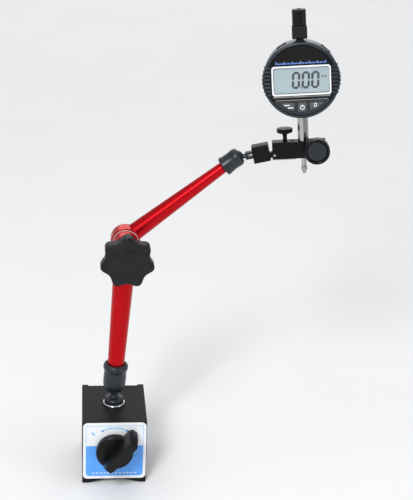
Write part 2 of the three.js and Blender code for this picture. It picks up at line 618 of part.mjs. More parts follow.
function buildTop(group) {
  const bottom = DIAL.height + DIAL.radius + GAP;
  const { halfWidth, halfDepth, top, neckRadius } = BOSS;
  const boss = box(-halfWidth, halfWidth, -halfDepth, halfDepth, bottom, top);
  const neck = rod(neckRadius, DIAL.height + CASE.radius - 5, bottom + 1);
  const bore = rod(SPINDLE.radius + GAP, 0, 120, 20);
  add(group, 'spindle_housing', blackPlastic, carve([boss, neck], [bore]));

  const seat = top + GAP;
  const tip = CAP.top + CAP.tipHeight;
  const ceiling = CAP.top - 1.2;
  add(group, 'top_cap', blackPlastic, turned([
    [CAP.bore, seat], [CAP.radius, seat], [CAP.radius, CAP.top - CAP.chamfer],
    [CAP.radius - CAP.chamfer, CAP.top], [CAP.tipRadius, CAP.top], [CAP.tipRadius - 0.2, tip],
    [0, tip], [0, ceiling], [CAP.bore, ceiling], [CAP.bore, seat],
  ]));
}

function returnSpring() {
  const { radius, wireRadius, turns, stepsPerTurn } = SPRING;
  const steps = turns * stepsPerTurn;
  const [bottom, top] = [DIAL.height + SPRING.from, DIAL.height + SPRING.to];
  const points = Array.from({ length: steps + 1 }, (_, i) => {
    const angle = (i / stepsPerTurn) * 2 * Math.PI;
    const height = bottom + ((top - bottom) * i) / steps;
    return new THREE.Vector3(radius * Math.cos(angle), radius * Math.sin(angle), height);
  });
  const wire = polygon(Array.from({ length: 5 }, (_, i) => {
    return [wireRadius * Math.cos(i * 72 * DEG), wireRadius * Math.sin(i * 72 * DEG)];
  }));
  const extrudePath = new THREE.CatmullRomCurve3(points);
  return carve([new THREE.ExtrudeGeometry(wire, { steps, extrudePath, bevelEnabled: false })]);
}

// The indicator's frame sits on the stem's axis at the middle of the clamp block.
function buildGauge(clamp) {
  const group = frame(clamp, STEM_CENTRE.x, 0, STEM_CENTRE.z);
  buildCase(group);
  buildBackCover(group);
  const stemTop = DIAL.height - CASE.radius + 3.5;
  add(group, 'gauge_stem', polishedSteel, ring(SPINDLE.radius + GAP, STEM.radius, STEM.bottom, stemTop));
  buildTop(group);
  const battery = facing(rod(BATTERY.radius, BATTERY.back, BATTERY.front));
  add(group, 'battery', polishedSteel, battery.translate(BATTERY.x, 0, DIAL.height + BATTERY.z));
  add(group, 'return_spring', springSteel, returnSpring());
  return group;
}

function buildBezel(group) {
  const { radius, front, bezelBack, skirt } = DIAL;
  const { inner, outer, lipInner, lipMiddle, skirtInner, round } = BEZEL;
  const profile = [
    [skirtInner, bezelBack - skirt], [outer, bezelBack - skirt], [outer, front - round],
    ...arc(lipMiddle, front - round, outer - lipMiddle, round, 30, 90, 2), [lipInner, front],
    [inner, front - 1], [inner, bezelBack], [skirtInner, bezelBack], [skirtInner, bezelBack - skirt],
  ];
  const { count, pitch, halfWidth, depth } = RIBS;
  const ribs = [0, 180].flatMap((side) => Array.from({ length: count }, (_, i) => {
    const y = (i - (count - 1) / 2) * pitch;
    const reach = Math.sqrt(radius ** 2 - (Math.abs(y) + halfWidth) ** 2);
    const rib = box(reach - depth, reach, y - halfWidth, y + halfWidth, bezelBack - skirt, front - 0.6);
    return rib.rotateZ(side * DEG);
  }));
  const caseSpace = rod(skirtInner, -5, bezelBack, 40);
  const faceSpace = rod(inner, bezelBack - 1, front + 1, 40);
  add(group, 'bezel', bezelPlastic, carve([turned(profile, 40), ...ribs], [caseSpace, faceSpace]));
}

// The middle key is a rectangle. The side keys end on a circle round the dial's centre.
function buttonOutline(side, grow = 0) {
  const { innerX, outerX, middleX } = BUTTONS;
  const top = BUTTONS.top + grow;
  const reach = BUTTONS.reach + grow;
  if (side === 0) {
    const x = middleX + grow;
    return polygon([[-x, -reach], [x, -reach], [x, top], [-x, top]]);
  }
  const [from, to] = [innerX - grow, outerX + grow].map((x) => Math.acos(x / reach));
  const rim = Array.from({ length: 5 }, (_, i) => {
    const angle = from + ((to - from) * i) / 4;
    return [side * reach * Math.cos(angle), -reach * Math.sin(angle)];
  });
  return polygon([...rim, [side * (outerX + grow), top], [side * (innerX - grow), top]]);
}

function buildWindow(group) {
  const { width, height, border, corner, proud } = WINDOW;
  const [innerWidth, innerHeight] = [width - 2 * border, height - 2 * border];
  const surround = extruded(roundedRectangle(width, height, corner), PANEL.back, PANEL.front + proud);
  const opening = extruded(roundedRectangle(innerWidth, innerHeight, 1), 0, FAR);
  add(group, 'window_frame', whiteEnamel, carve([surround], [opening]));
  const paneShape = roundedRectangle(innerWidth - 2 * GAP, innerHeight - 2 * GAP, 0.8);
  add(group, 'display_window', displayGrey, extruded(paneShape, PANEL.front - 0.7, PANEL.front + 0.1));
  const { halfWidth: x, halfHeight: y, back, front } = DISPLAY;
  add(group, 'lcd_panel', displayGrey, box(-x, x, -y, y, back, front));
}

// The face turns on the dial's axis. Its frame looks at the dial: X right, Y up, Z out.
function buildFace(gauge) {
  const group = frame(gauge, 0, 0, DIAL.height);
  group.rotation.x = Math.PI / 2;
  buildBezel(group);
  const windowSpace = roundedRectangle(WINDOW.width + 2 * GAP, WINDOW.height + 2 * GAP, WINDOW.corner);
  const holes = [-1, 0, 1].map((side) => extruded(buttonOutline(side, GAP), 0, FAR));
  const panel = rod(PANEL.radius, PANEL.back, PANEL.front, 40);
  add(group, 'face_panel', glossBlack, carve([panel], [extruded(windowSpace, 0, FAR), ...holes]));
  buildWindow(group);
  add(group, 'circuit_board', boardGreen, rod(BOARD.radius, BOARD.back, BOARD.front, 28));
  ['button_left', 'button_middle', 'button_right'].forEach((name, i) => {
    const cap = extruded(buttonOutline(i - 1), BUTTONS.back, BUTTONS.front);
    add(group, name, buttonRubber, carve([cap]));
  });
}

function buildSpindle(gauge) {
  const { radius, bottom, top } = SPINDLE;
  add(gauge, 'spindle', polishedSteel, turned([
    [0, bottom], [radius - 0.3, bottom], [radius, bottom + 0.3], [radius, top], [0, top],
  ], 20));
  const { ballRadius, holderRadius, holderHeight, tip } = CONTACT;
  const holderTop = bottom - GAP;
  const holderBottom = holderTop - holderHeight;
  add(gauge, 'contact_point', polishedSteel, turned([
    ...arc(0, tip + ballRadius, ballRadius, ballRadius, -90, 20, 5), [1.7, holderBottom - 0.2],
    [holderRadius, holderBottom], [holderRadius, holderTop], [0, holderTop],
  ], 12));
  const [from, to] = SCALE.fromDial.map((offset) => DIAL.height + offset);
  add(gauge, 'scale_strip', greyAluminium, box(-SCALE.half, SCALE.half, SCALE.back, SCALE.front, from, to));
}

// ---------------------------------------------------------------- assembly
const assembly = new THREE.Group();
buildBase(assembly);
buildSwitch(assembly);
buildLowerBall(assembly);
buildLowerArm(assembly);
buildElbowKnob(assembly);
buildUpperArm(assembly);
const link = buildLink(assembly);
const clamp = buildClamp(link);
buildClampKnob(clamp);
const gauge = buildGauge(clamp);
buildFace(gauge);
buildSpindle(gauge);
assembly.position.set(-CENTRE.x, -CENTRE.y, 0);

const group = new THREE.Group();
group.add(assembly);
export default group;
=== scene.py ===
"""Looks for the digital indicator on its magnetic base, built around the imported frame.

Shapes are drawn in millimetres in the local frame of the joint that they belong to, and
converted to metres as their vertices are made. Z is the turning axis of every turned piece.
"""

import json
from math import acos, asin, cos, degrees, pi, radians, sin, sqrt, tan

import bmesh
import bpy
from mathutils import Matrix, Vector


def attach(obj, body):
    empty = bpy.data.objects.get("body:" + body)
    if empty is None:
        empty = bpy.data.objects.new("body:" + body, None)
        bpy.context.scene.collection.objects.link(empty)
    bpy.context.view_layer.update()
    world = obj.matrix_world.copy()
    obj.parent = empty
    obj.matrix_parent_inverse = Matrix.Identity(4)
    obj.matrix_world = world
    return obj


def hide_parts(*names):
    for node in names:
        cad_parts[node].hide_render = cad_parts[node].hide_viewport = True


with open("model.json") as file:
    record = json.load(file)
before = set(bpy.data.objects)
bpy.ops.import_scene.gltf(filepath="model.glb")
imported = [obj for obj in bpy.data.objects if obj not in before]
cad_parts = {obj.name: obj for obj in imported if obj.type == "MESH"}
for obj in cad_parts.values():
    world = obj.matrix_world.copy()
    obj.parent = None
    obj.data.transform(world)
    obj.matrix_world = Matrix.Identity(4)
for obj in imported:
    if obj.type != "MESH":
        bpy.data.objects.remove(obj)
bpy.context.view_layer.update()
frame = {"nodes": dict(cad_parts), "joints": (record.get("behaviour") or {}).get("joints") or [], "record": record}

MM = 0.001
SMOOTH_ANGLE = 32
ROUND = 96  # facets of a large turned piece
SMALL_ROUND = 48
FINE_ROUND = 128  # facets of the case, its back cover and the panel
BEZEL_ROUND = 160

joints = {joint["name"]: joint for joint in frame["joints"]}
slot_of = {row["node"]: row["material_slot"] for row in frame["record"]["subparts"]}


# ------------------------------------------------------------------ frames
def at_joint(name):
    return Vector(joints[name]["pos_m"])


def along(name):
    return Vector(joints[name]["axis"]).normalized()


def frame_of(origin, x, y, z):
    """A placement whose columns are the three axes."""
    matrix = Matrix((x, y, z)).transposed().to_4x4()
    matrix.translation = origin
    return matrix


def frame_from(origin, y, z):
    y, z = y.normalized(), z.normalized()
    return frame_of(origin, y.cross(z), y, z)


UP = Vector((0, 0, 1))
BACK = Vector((0, 1, 0))
switch_at = at_joint("switch_turn")
BASE = Matrix.Translation((switch_at.x, switch_at.y, 0))
SWITCH = frame_from(switch_at, UP, along("switch_turn"))
LOWER = frame_from(at_joint("lower_ball_twist"), BACK, along("lower_ball_twist"))
ELBOW = frame_from(at_joint("elbow_swing"), UP, along("elbow_swing"))
UPPER = frame_from(at_joint("elbow_swing"), BACK, along("upper_ball_swivel"))
hinge_line = -along("fine_tilt")
LINK = frame_of(
    at_joint("upper_ball_roll"), along("upper_ball_roll"), hinge_line,
    along("upper_ball_roll").cross(hinge_line),
)
CLAMP = frame_from(at_joint("fine_tilt"), hinge_line, along("fine_screw_turn"))
KNOB = frame_from(at_joint("clamp_knob_turn"), along("fine_screw_turn"), along("clamp_knob_turn"))
GAUGE = frame_from(at_joint("gauge_turn"), -along("face_turn"), along("gauge_turn"))
FACE = frame_from(at_joint("face_turn"), along("gauge_turn"), along("face_turn"))
TO_FRONT = Matrix.Rotation(pi / 2, 4, "X")  # local +Z to the frame's -Y, local +Y to its +Z


def shift(x, y, z):
    return Matrix.Translation((x * MM, y * MM, z * MM))


# ------------------------------------------------------------------ shapes
def arc(r, h, across, tall, start, end, steps):
    """Points of an elliptical arc, angles in degrees from the radius axis."""
    points = []
    for i in range(steps + 1):
        angle = radians(start + (end - start) * i / steps)
        points.append((r + across * cos(angle), h + tall * sin(angle)))
    return points


def softened(points, radius, steps=3, closed=False):
    """Rounds the corners of a line of points."""
    result = []
    count = len(points)
    for i, point in enumerate(points):
        if not closed and i in (0, count - 1):
            result.append(tuple(point))
            continue
        corner = Vector(point)
        before = Vector(points[i - 1]) - corner
        after = Vector(points[(i + 1) % count]) - corner
        reach = min(radius, before.length * 0.45, after.length * 0.45)
        start = corner + before.normalized() * reach
        end = corner + after.normalized() * reach
        for k in range(steps + 1):
            t = k / steps
            spot = start * (1 - t) ** 2 + corner * (2 * t * (1 - t)) + end * t * t
            result.append((spot.x, spot.y))
    return result


def ring_profile(points, radius=0.0):
    """A closed profile, with its corners rounded."""
    outline = softened(points, radius, closed=True) if radius else list(points)
    return outline + outline[:1]


def lathe(profile, facets=ROUND):
    """Turns a profile of (radius, height) about Z."""
    bm = bmesh.new()
    closed = profile[0] == profile[-1]
    rings = []
    for radius, height in (profile[:-1] if closed else profile):
        if radius < 1e-6:
            rings.append([bm.verts.new((0, 0, height * MM))])
            continue
        turn = [2 * pi * i / facets for i in range(facets)]
        rings.append([bm.verts.new((radius * cos(a) * MM, radius * sin(a) * MM, height * MM)) for a in turn])
    pairs = list(zip(rings, rings[1:]))
    if closed:
        pairs.append((rings[-1], rings[0]))
    for lower, upper in pairs:
        for i in range(facets):
            j = (i + 1) % facets
            corners = [lower[i % len(lower)], lower[j % len(lower)]]
            corners += [upper[j % len(upper)], upper[i % len(upper)]]
            corners = list(dict.fromkeys(corners))
            if len(corners) > 2:
                bm.faces.new(corners)
    return tidy(bm)


def tidy(bm):
    bmesh.ops.recalc_face_normals(bm, faces=bm.faces)
    return bm


def inset(outline, distance):
    """Moves a counter-clockwise outline inwards."""
    result = []
    count = len(outline)
    for i, point in enumerate(outline):
        here = Vector(point)
        arriving = (here - Vector(outline[i - 1])).normalized()
        leaving = (Vector(outline[(i + 1) % count]) - here).normalized()
        first = Vector((-arriving.y, arriving.x))
        middle = (first + Vector((-leaving.y, leaving.x))).normalized()
        result.append(here + middle * (distance / max(middle.dot(first), 0.3)))
    return result


def prism(outline, low, high, edge=0.0, steps=3):
    """Raises a counter-clockwise outline from low to high, with rounded rims."""
    if edge:
        turns = [pi / 2 * k / steps for k in range(steps + 1)]
        layers = [(edge * (1 - sin(a)), low + edge * (1 - cos(a))) for a in turns]
        layers += [(edge * (1 - sin(a)), high - edge * (1 - cos(a))) for a in reversed(turns)]
    else:
        layers = [(0, low), (0, high)]
    bm = bmesh.new()
    rings = []
    for distance, height in layers:
        spots = inset(outline, distance) if distance else outline
        rings.append([bm.verts.new((x * MM, y * MM, height * MM)) for x, y in spots])
    count = len(outline)
    for lower, upper in zip(rings, rings[1:]):
        for i in range(count):
            j = (i + 1) % count
            bm.faces.new((lower[i], lower[j], upper[j], upper[i]))
    bm.faces.new(list(reversed(rings[0])))
    bm.faces.new(rings[-1])
    return tidy(bm)


def band(outer, inner, low, high, edge=0.0):
    """A frame between two outlines with the same number of points."""
    layers = [(outer, 0, low), (outer, 0, high - edge), (outer, edge, high)]
    layers += [(inner, -edge, high), (inner, 0, high - edge), (inner, 0, low)]
    if not edge:
        layers = [layers[0], layers[1], layers[4], layers[5]]
    bm = bmesh.new()
    rings = []
    for outline, distance, height in layers:
        spots = inset(outline, distance) if distance else outline
        rings.append([bm.verts.new((x * MM, y * MM, height * MM)) for x, y in spots])
    count = len(outer)
    for lower, upper in zip(rings, rings[1:] + rings[:1]):
        for i in range(count):
            j = (i + 1) % count
            bm.faces.new((lower[i], lower[j], upper[j], upper[i]))
    return tidy(bm)


def block(x0, x1, y0, y1, z0, z1, edge=0.4, steps=3):
    """A box with all its edges rounded."""
    bm = bmesh.new()
    bmesh.ops.create_cube(bm, size=1)
    for vert in bm.verts:
        vert.co.x = (x0 if vert.co.x < 0 else x1) * MM
        vert.co.y = (y0 if vert.co.y < 0 else y1) * MM
        vert.co.z = (z0 if vert.co.z < 0 else z1) * MM
    if edge:
        bmesh.ops.bevel(bm, geom=bm.edges[:], offset=edge * MM, segments=steps, profile=0.5, affect="EDGES")
    return tidy(bm)


def rounded_rectangle(width, height, corner, x=0.0, y=0.0, steps=8):
    points = []
    for cx, cy, start in ((1, -1, -90), (1, 1, 0), (-1, 1, 90), (-1, -1, 180)):
        middle = (x + cx * (width / 2 - corner), y + cy * (height / 2 - corner))
        points += arc(*middle, corner, corner, start, start + 90, steps)
    return points


def circle(radius, facets=48):
    return arc(0, 0, radius, radius, 0, 360 - 360 / facets, facets - 1)


def hexagon(across_flats):
    return circle(across_flats / sqrt(3), 6)


def rod(radius, low, high, facets=SMALL_ROUND, edge=0.0):
    profile = [(0, low), (radius, low), (radius, high), (0, high)]
    return lathe(softened(profile, edge) if edge else profile, facets)


def placed(bm, matrix):
    bmesh.ops.transform(bm, matrix=matrix, verts=bm.verts)
    return bm


def front(bm):
    """Turns a shape drawn along +Z to point out of the frame's front."""
    return placed(bm, TO_FRONT)


def joined(*parts):
    whole = bmesh.new()
    for part in parts:
        mesh = bpy.data.meshes.new("part")
        part.to_mesh(mesh)
        part.free()
        whole.from_mesh(mesh)
        bpy.data.meshes.remove(mesh)
    return whole


def loose_object(bm):
    mesh = bpy.data.meshes.new("loose")
    bm.to_mesh(mesh)
    bm.free()
    holder = bpy.data.objects.new("loose", mesh)
    bpy.context.scene.collection.objects.link(holder)
    return holder


def combined(base, tools, operation):
    """Joins tools to a shape, or cuts them from it."""
    target = loose_object(base)
    helpers = [loose_object(tool) for tool in tools]
    for helper in helpers:
        modifier = target.modifiers.new("combine", "BOOLEAN")
        modifier.operation = operation
        modifier.solver = "EXACT"
        modifier.object = helper
    bpy.context.view_layer.update()
    shown = target.evaluated_get(bpy.context.evaluated_depsgraph_get())
    result = bmesh.new()
    result.from_mesh(shown.to_mesh())
    shown.to_mesh_clear()
    for used in [target, *helpers]:
        mesh = used.data
        bpy.data.objects.remove(used)
        bpy.data.meshes.remove(mesh)
    return result


def cut(base, *tools):
    return combined(base, tools, "DIFFERENCE")


def fused(base, *tools):
    return combined(base, tools, "UNION")


def piece(name, bm, material, at, body, nodes=(), angle=SMOOTH_ANGLE):
    """Makes a finished piece from a shape, on a body, standing for CAD nodes."""
    mesh = bpy.data.meshes.new(name)
    bm.to_mesh(mesh)
    bm.free()
    mesh.materials.append(material)
    made = bpy.data.objects.new(name, mesh)
    bpy.context.scene.collection.objects.link(made)
    mesh.shade_smooth()
    mesh.set_sharp_from_angle(angle=radians(angle))
    weighted = made.modifiers.new("normals", "WEIGHTED_NORMAL")
    weighted.keep_sharp = True
    made.matrix_world = at
    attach(made, body)
    if nodes:
        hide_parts(*nodes)
    return made


# ------------------------------------------------------------------ materials
def node_maker(material):
    tree = material.node_tree

    def make(kind, values=None, **settings):
        node = tree.nodes.new("ShaderNode" + kind)
        for key, value in settings.items():
            setattr(node, key, value)
        for key, value in (values or {}).items():
            if isinstance(value, bpy.types.NodeSocket):
                tree.links.new(value, node.inputs[key])
            else:
                node.inputs[key].default_value = value
        return node

    return tree, make


def surface(name, color, second, roughness, metallic=0.0, spread=0.08, broad=70.0, grain=1600.0,
            depth=0.02, stretch=(1, 1, 1), wear_and_highlight=None, coat=0.0, specular=0.5, alpha=1.0):
    """A finish with broad colour variation, fine grain in roughness and relief, and lighter edges that stand
    partly for scuffing and partly for painted highlights.

    broad and grain are in features per metre, depth is the relief in millimetres.
    """
    material = bpy.data.materials.new(name)
    material.use_nodes = True
    tree, make = node_maker(material)
    shader = tree.nodes["Principled BSDF"]
    place = make("TexCoord").outputs["Object"]
    place = make("Mapping", {"Vector": place, "Scale": stretch}).outputs["Vector"]
    patches = make("TexNoise", {"Vector": place, "Scale": broad, "Detail": 5.0, "Roughness": 0.6})
    grains = make("TexNoise", {"Vector": place, "Scale": grain, "Detail": 3.0, "Roughness": 0.55})
    blend = make("MapRange", {"Value": patches.outputs["Fac"], "From Min": 0.3, "From Max": 0.7})
    paint = make("Mix", {0: blend.outputs["Result"], 6: (*color, 1), 7: (*second, 1)}, data_type="RGBA")
    tone = paint.outputs[2]
    # Convex edges are lightened towards the edge colour: partly scuffing, partly a painted highlight where rounded
    # edges would catch the light.
    if wear_and_highlight:
        soft = make("Bevel", {"Radius": 0.5 * MM}, samples=4).outputs["Normal"]
        true = make("NewGeometry").outputs["Normal"]
        turned = make("VectorMath", {0: soft, 1: true}, operation="DOT_PRODUCT").outputs["Value"]
        edges = make("MapRange", {"Value": turned, "From Min": 0.99, "From Max": 0.85}).outputs["Result"]
        rubbed_and_lit = make("Math", {0: edges, 1: blend.outputs["Result"]}, operation="MULTIPLY")
        worn_and_lit = make("Mix", {0: rubbed_and_lit.outputs["Value"], 6: tone, 7: (*wear_and_highlight, 1)}, data_type="RGBA")
        tone = worn_and_lit.outputs[2]
    tree.links.new(tone, shader.inputs["Base Color"])
    both = make("Math", {0: grains.outputs["Fac"], 1: patches.outputs["Fac"]}, operation="ADD")
    rough = make("MapRange", {
        "Value": both.outputs["Value"], "From Min": 0.6, "From Max": 1.4,
        "To Min": max(roughness - spread, 0.02), "To Max": roughness + spread,
    })
    tree.links.new(rough.outputs["Result"], shader.inputs["Roughness"])
    if depth:
        relief = make("Bump", {"Height": grains.outputs["Fac"], "Strength": 0.6, "Distance": depth * MM})
        tree.links.new(relief.outputs["Normal"], shader.inputs["Normal"])
    shader.inputs["Metallic"].default_value = metallic
    shader.inputs["Specular IOR Level"].default_value = specular
    shader.inputs["Coat Weight"].default_value = coat
    shader.inputs["Coat Roughness"].default_value = 0.08
    shader.inputs["Alpha"].default_value = alpha
    return material


TURNED = (1, 1, 30)  # stretches grain into rings round a turned piece
base_paint = surface("base_paint", (0.006, 0.0065, 0.0072), (0.012, 0.0125, 0.0138), 0.5, spread=0.1,
                     grain=2600, depth=0.05, wear_and_highlight=(0.05, 0.05, 0.055), specular=0.13)
ground_iron = surface("ground_iron", (0.28, 0.28, 0.29), (0.4, 0.4, 0.41), 0.4, metallic=0.9,
                      stretch=(20, 1, 1))
brass = surface("brass", (0.55, 0.37, 0.12), (0.68, 0.48, 0.18), 0.35, metallic=1.0)
enamel = surface("enamel", (0.78, 0.8, 0.82), (0.84, 0.855, 0.87), 0.3, spread=0.05, depth=0.004, coat=0.3)
blue_ink = surface("blue_ink", (0.075, 0.33, 0.86), (0.09, 0.37, 0.92), 0.32, spread=0.05, depth=0.004,
                   coat=0.3)
light_ink = surface("light_ink", (0.16, 0.48, 0.86), (0.22, 0.55, 0.9), 0.35, spread=0.05, depth=0.002)
white_ink = surface("white_ink", (0.72, 0.78, 0.85), (0.8, 0.85, 0.9), 0.4, spread=0.05, depth=0.002)
gloss_black = surface("gloss_black", (0.003, 0.0033, 0.004), (0.006, 0.0064, 0.0072), 0.3, spread=0.06,
                      grain=2200, depth=0.008, wear_and_highlight=(0.025, 0.025, 0.028), specular=0.2)
matte_black = surface("matte_black", (0.006, 0.0073, 0.0084), (0.012, 0.0138, 0.0155), 0.46, spread=0.08,
                      grain=3000, depth=0.03, wear_and_highlight=(0.04, 0.044, 0.047), specular=0.2)
slate = surface("slate", (0.008, 0.011, 0.015), (0.016, 0.02, 0.026), 0.34, spread=0.06,
                grain=900, depth=0.008, stretch=TURNED, wear_and_highlight=(0.1, 0.11, 0.12), specular=0.4)
block_black = surface("block_black", (0.002, 0.0021, 0.0024), (0.0045, 0.0047, 0.0051), 0.22, spread=0.06,
                      grain=2400, depth=0.01, wear_and_highlight=(0.08, 0.08, 0.085), specular=0.14)
# Its light pink edge colour is a painted highlight along the arms' rounded edges.
red_anodised = surface("red_anodised", (0.42, 0.003, 0.007), (0.52, 0.006, 0.012), 0.3, spread=0.05,
                       metallic=0.75, grain=700, depth=0.004, stretch=TURNED, wear_and_highlight=(0.62, 0.1, 0.1),
                       specular=0.2)
zinc = surface("zinc", (0.5, 0.5, 0.5), (0.66, 0.66, 0.65), 0.2, metallic=1.0, grain=700, depth=0.006,
               stretch=TURNED)
steel = surface("steel", (0.36, 0.34, 0.32), (0.48, 0.46, 0.44), 0.13, spread=0.05, metallic=1.0, grain=500,
                depth=0.004, stretch=TURNED)
nylon = surface("nylon", (0.5, 0.36, 0.34), (0.6, 0.45, 0.43), 0.4, depth=0.01)
case_grey = surface("case_grey", (0.2, 0.2, 0.2), (0.3, 0.3, 0.3), 0.36, spread=0.06, metallic=0.7,
                    grain=500, depth=0.006, stretch=TURNED, wear_and_highlight=(0.5, 0.5, 0.5))
# Its light edge colour paints highlights along the grip ribs and the rims of the bezel and key surround.
bezel_slate = surface("bezel_slate", (0.008, 0.013, 0.018), (0.014, 0.021, 0.028), 0.34, spread=0.08,
                      grain=1800, depth=0.01, wear_and_highlight=(0.16, 0.18, 0.2), specular=0.45)
panel_gloss = surface("panel_gloss", (0.004, 0.004, 0.0042), (0.008, 0.0075, 0.0072), 0.14, spread=0.04,
                      grain=1200, depth=0.002, specular=0.3)
white_plastic = surface("white_plastic", (0.78, 0.8, 0.81), (0.86, 0.87, 0.88), 0.3, spread=0.05, depth=0.004)
lcd_grey = surface("lcd_grey", (0.3, 0.39, 0.42), (0.34, 0.43, 0.46), 0.35, spread=0.04, broad=40, depth=0.0)
lcd_ink = surface("lcd_ink", (0.0005, 0.004, 0.02), (0.001, 0.006, 0.026), 0.6, spread=0.04, depth=0.0,
                  specular=0.05)
window_clear = surface("window_clear", (0.85, 0.9, 0.92), (0.9, 0.93, 0.95), 0.06, spread=0.02, depth=0.0,
                       alpha=0.05)
button_grey = surface("button_grey", (0.052, 0.056, 0.06), (0.072, 0.077, 0.082), 0.5, spread=0.08,
                      grain=3000, depth=0.02)
scale_blue = surface("scale_blue", (0.12, 0.3, 1.0), (0.3, 0.5, 1.0), 0.4, spread=0.04, depth=0.0)
board_green = surface("board_green", (0.01, 0.09, 0.045), (0.015, 0.13, 0.06), 0.4, spread=0.1, grain=1200)

FINISHES = {
    "base_paint": base_paint, "divider_brass": brass, "plate_enamel": enamel, "zinc": zinc,
    "switch_plastic": gloss_black, "magnet": ground_iron, "steel": steel, "slate_metal": slate,
    "nylon": nylon, "red_anodised": red_anodised, "knob_plastic": matte_black, "block_black": block_black,
    "case_aluminium": case_grey, "bezel_plastic": bezel_slate, "case_plastic": matte_black,
    "panel_gloss": panel_gloss, "frame_white": white_plastic, "window_clear": window_clear,
    "lcd": lcd_grey, "board": board_green, "button_rubber": button_grey,
}


def finish_frame_nodes():
    """Every CAD node gets the finish of its slot."""
    for name, node in frame["nodes"].items():
        node.data.materials.clear()
        node.data.materials.append(FINISHES[slot_of[name]])
        node.data.shade_smooth()
        node.data.set_sharp_from_angle(angle=radians(SMOOTH_ANGLE))


# ------------------------------------------------------------------ magnetic base
BASE_FRONT = 29.3  # the block's front face, forward of the base's middle
BASE_BACK = -30
HALF_WIDTH = 25
BLOCK_HEIGHT = 55
GROOVE_HALF = 20  # the vee underneath, and the channel between the rear pads
GROOVE_SLOPE = 15  # degrees
MAGNET_BORE = 16
STUD_HOLE = 4.3
PLATE_FRONT = 30.6
SWITCH_HEIGHT = 31
INK = 0.06  # thickness of a printed layer


def pole_outline():
    """Half of the block's front view, with a gap up the middle that ends below the top."""
    gap, gap_top, seam = 1.5, 47.5, 0.01
    corners = [
        (gap, (GROOVE_HALF - gap) * tan(radians(GROOVE_SLOPE))), (GROOVE_HALF, 0), (HALF_WIDTH, 0),
        (HALF_WIDTH, BLOCK_HEIGHT), (seam, BLOCK_HEIGHT), (seam, gap_top), (gap, gap_top),
    ]
    outline = softened(corners, 0.7, closed=True)
    return [(seam, z) if x < gap - 0.3 and z > gap_top - 0.1 else (x, z) for x, z in outline]


def build_poles():
    for side, name in ((1, "right"), (-1, "left")):
        outline = pole_outline()
        if side < 0:
            outline = [(-x, z) for x, z in reversed(outline)]
        solid = front(prism(outline, BASE_BACK, BASE_FRONT, edge=0.4))
        bore = placed(front(rod(MAGNET_BORE, -40, 40, ROUND)), shift(0, 0, SWITCH_HEIGHT))
        channel = block(-GROOVE_HALF, GROOVE_HALF, 28, 40, -5, 60, edge=0)
        solid = cut(solid, bore, channel, rod(STUD_HOLE, 40, 60))
        stands_for = [f"pole_{name}", "divider_top_front" if side > 0 else "divider_top_rear"]
        piece(f"{name}_pole_block", solid, base_paint, BASE, "base", stands_for)


def plate_layer(name, outline, material):
    """A printed layer on the front plate, drawn about the switch axis."""
    layer = prism(outline, PLATE_FRONT, PLATE_FRONT + INK)
    piece(name, layer, material, SWITCH, "base")


def build_front_plate():
    plate_middle = 29.6 - SWITCH_HEIGHT
    plate = prism(rounded_rectangle(49, 50, 3.5, 0, plate_middle), PLATE_FRONT - 1, PLATE_FRONT, edge=0.18)
    plate = cut(plate, rod(5, 20, 40))
    piece("enamel_plate", plate, enamel, SWITCH, "base", ["front_plate"])

    # Blue lower field with round lower corners.
    left, right, top, bottom = -22.3, 22.3, 34.4 - SWITCH_HEIGHT, 7.1 - SWITCH_HEIGHT
    corner = 2.6
    field = [(right, top), (left, top)]
    field += arc(left + corner, bottom + corner, corner, corner, 180, 270, 8)
    field += arc(right - corner, bottom + corner, corner, corner, 270, 360, 8)
    plate_layer("blue_field", field, blue_ink)

    # Thin line round the white upper field.
    line = 0.32
    roof = 52.4 - SWITCH_HEIGHT
    outer = [(right, top + 0.1), (right, roof), (left, roof), (left, top + 0.1)]
    inner = [(left + line, top + 0.1), (left + line, roof - line), (right - line, roof - line)]
    plate_layer("field_line", outer + inner + [(right - line, top + 0.1)], light_ink)

    # An arc over the knob with an arrowhead at each end.
    radius, half = 19.4, 0.42
    sweep = [radians(58 + 62 * i / 24) for i in range(25)]
    strip = [((radius + half) * cos(a), (radius + half) * sin(a)) for a in sweep]
    strip += [((radius - half) * cos(a), (radius - half) * sin(a)) for a in reversed(sweep)]
    plate_layer("turn_arrow_line", strip, light_ink)
    for name, angle, way in (("right", 56, 1), ("left", 122, -1)):
        tip = radians(angle - 3 * way)
        root = radians(angle + 5 * way)
        corners = [(radius * cos(tip), radius * sin(tip))]
        corners += [((radius + reach) * cos(root), (radius + reach) * sin(root)) for reach in (1.3, -1.3)]
        plate_layer(f"turn_arrow_{name}_head", corners[::way], light_ink)

    # A bar marks the switch's on end.
    bar = rounded_rectangle(1.3, 3.8, 0.5, steps=4)
    marked = prism(bar, PLATE_FRONT, PLATE_FRONT + INK)
    placed(marked, shift(-16.6, 14.2, 0) @ Matrix.Rotation(radians(40), 4, "Z"))
    piece("on_mark", marked, light_ink, SWITCH, "base")

    # Row of short dashes along the bottom of the blue field.
    dashes = []
    for i in range(12):
        dash = rounded_rectangle(1.9, 0.8, 0.3, -16.5 + 3 * i, bottom + corner, steps=3)
        dashes.append(prism(dash, PLATE_FRONT + INK / 2, PLATE_FRONT + 0.1))
    piece("dash_row", joined(*dashes), white_ink, SWITCH, "base")


def build_base_details():
    washer = ring_profile([(4.4, 55.3), (8.8, 55.3), (8.8, 56.2), (8.2, 56.8), (4.4, 56.8)], 0.25)
    piece("bright_washer", lathe(washer), zinc, BASE, "base", ["stud_washer"])


OFF_ANGLE = -41
KNOB_SEAT = PLATE_FRONT + 0.4
GRIP_FOOT = 2
GRIP_TOP = 21


def end_slope(length, run, low, turn):
    """A cut that slopes one end of the grip towards the disc."""
    start = length - run
    slope = prism([(start, 40), (start, GRIP_TOP), (length + 1, low), (length + 9, 40)], -12, 12)
    return tidy(placed(slope, Matrix.Rotation(turn, 4, "Z") @ TO_FRONT))


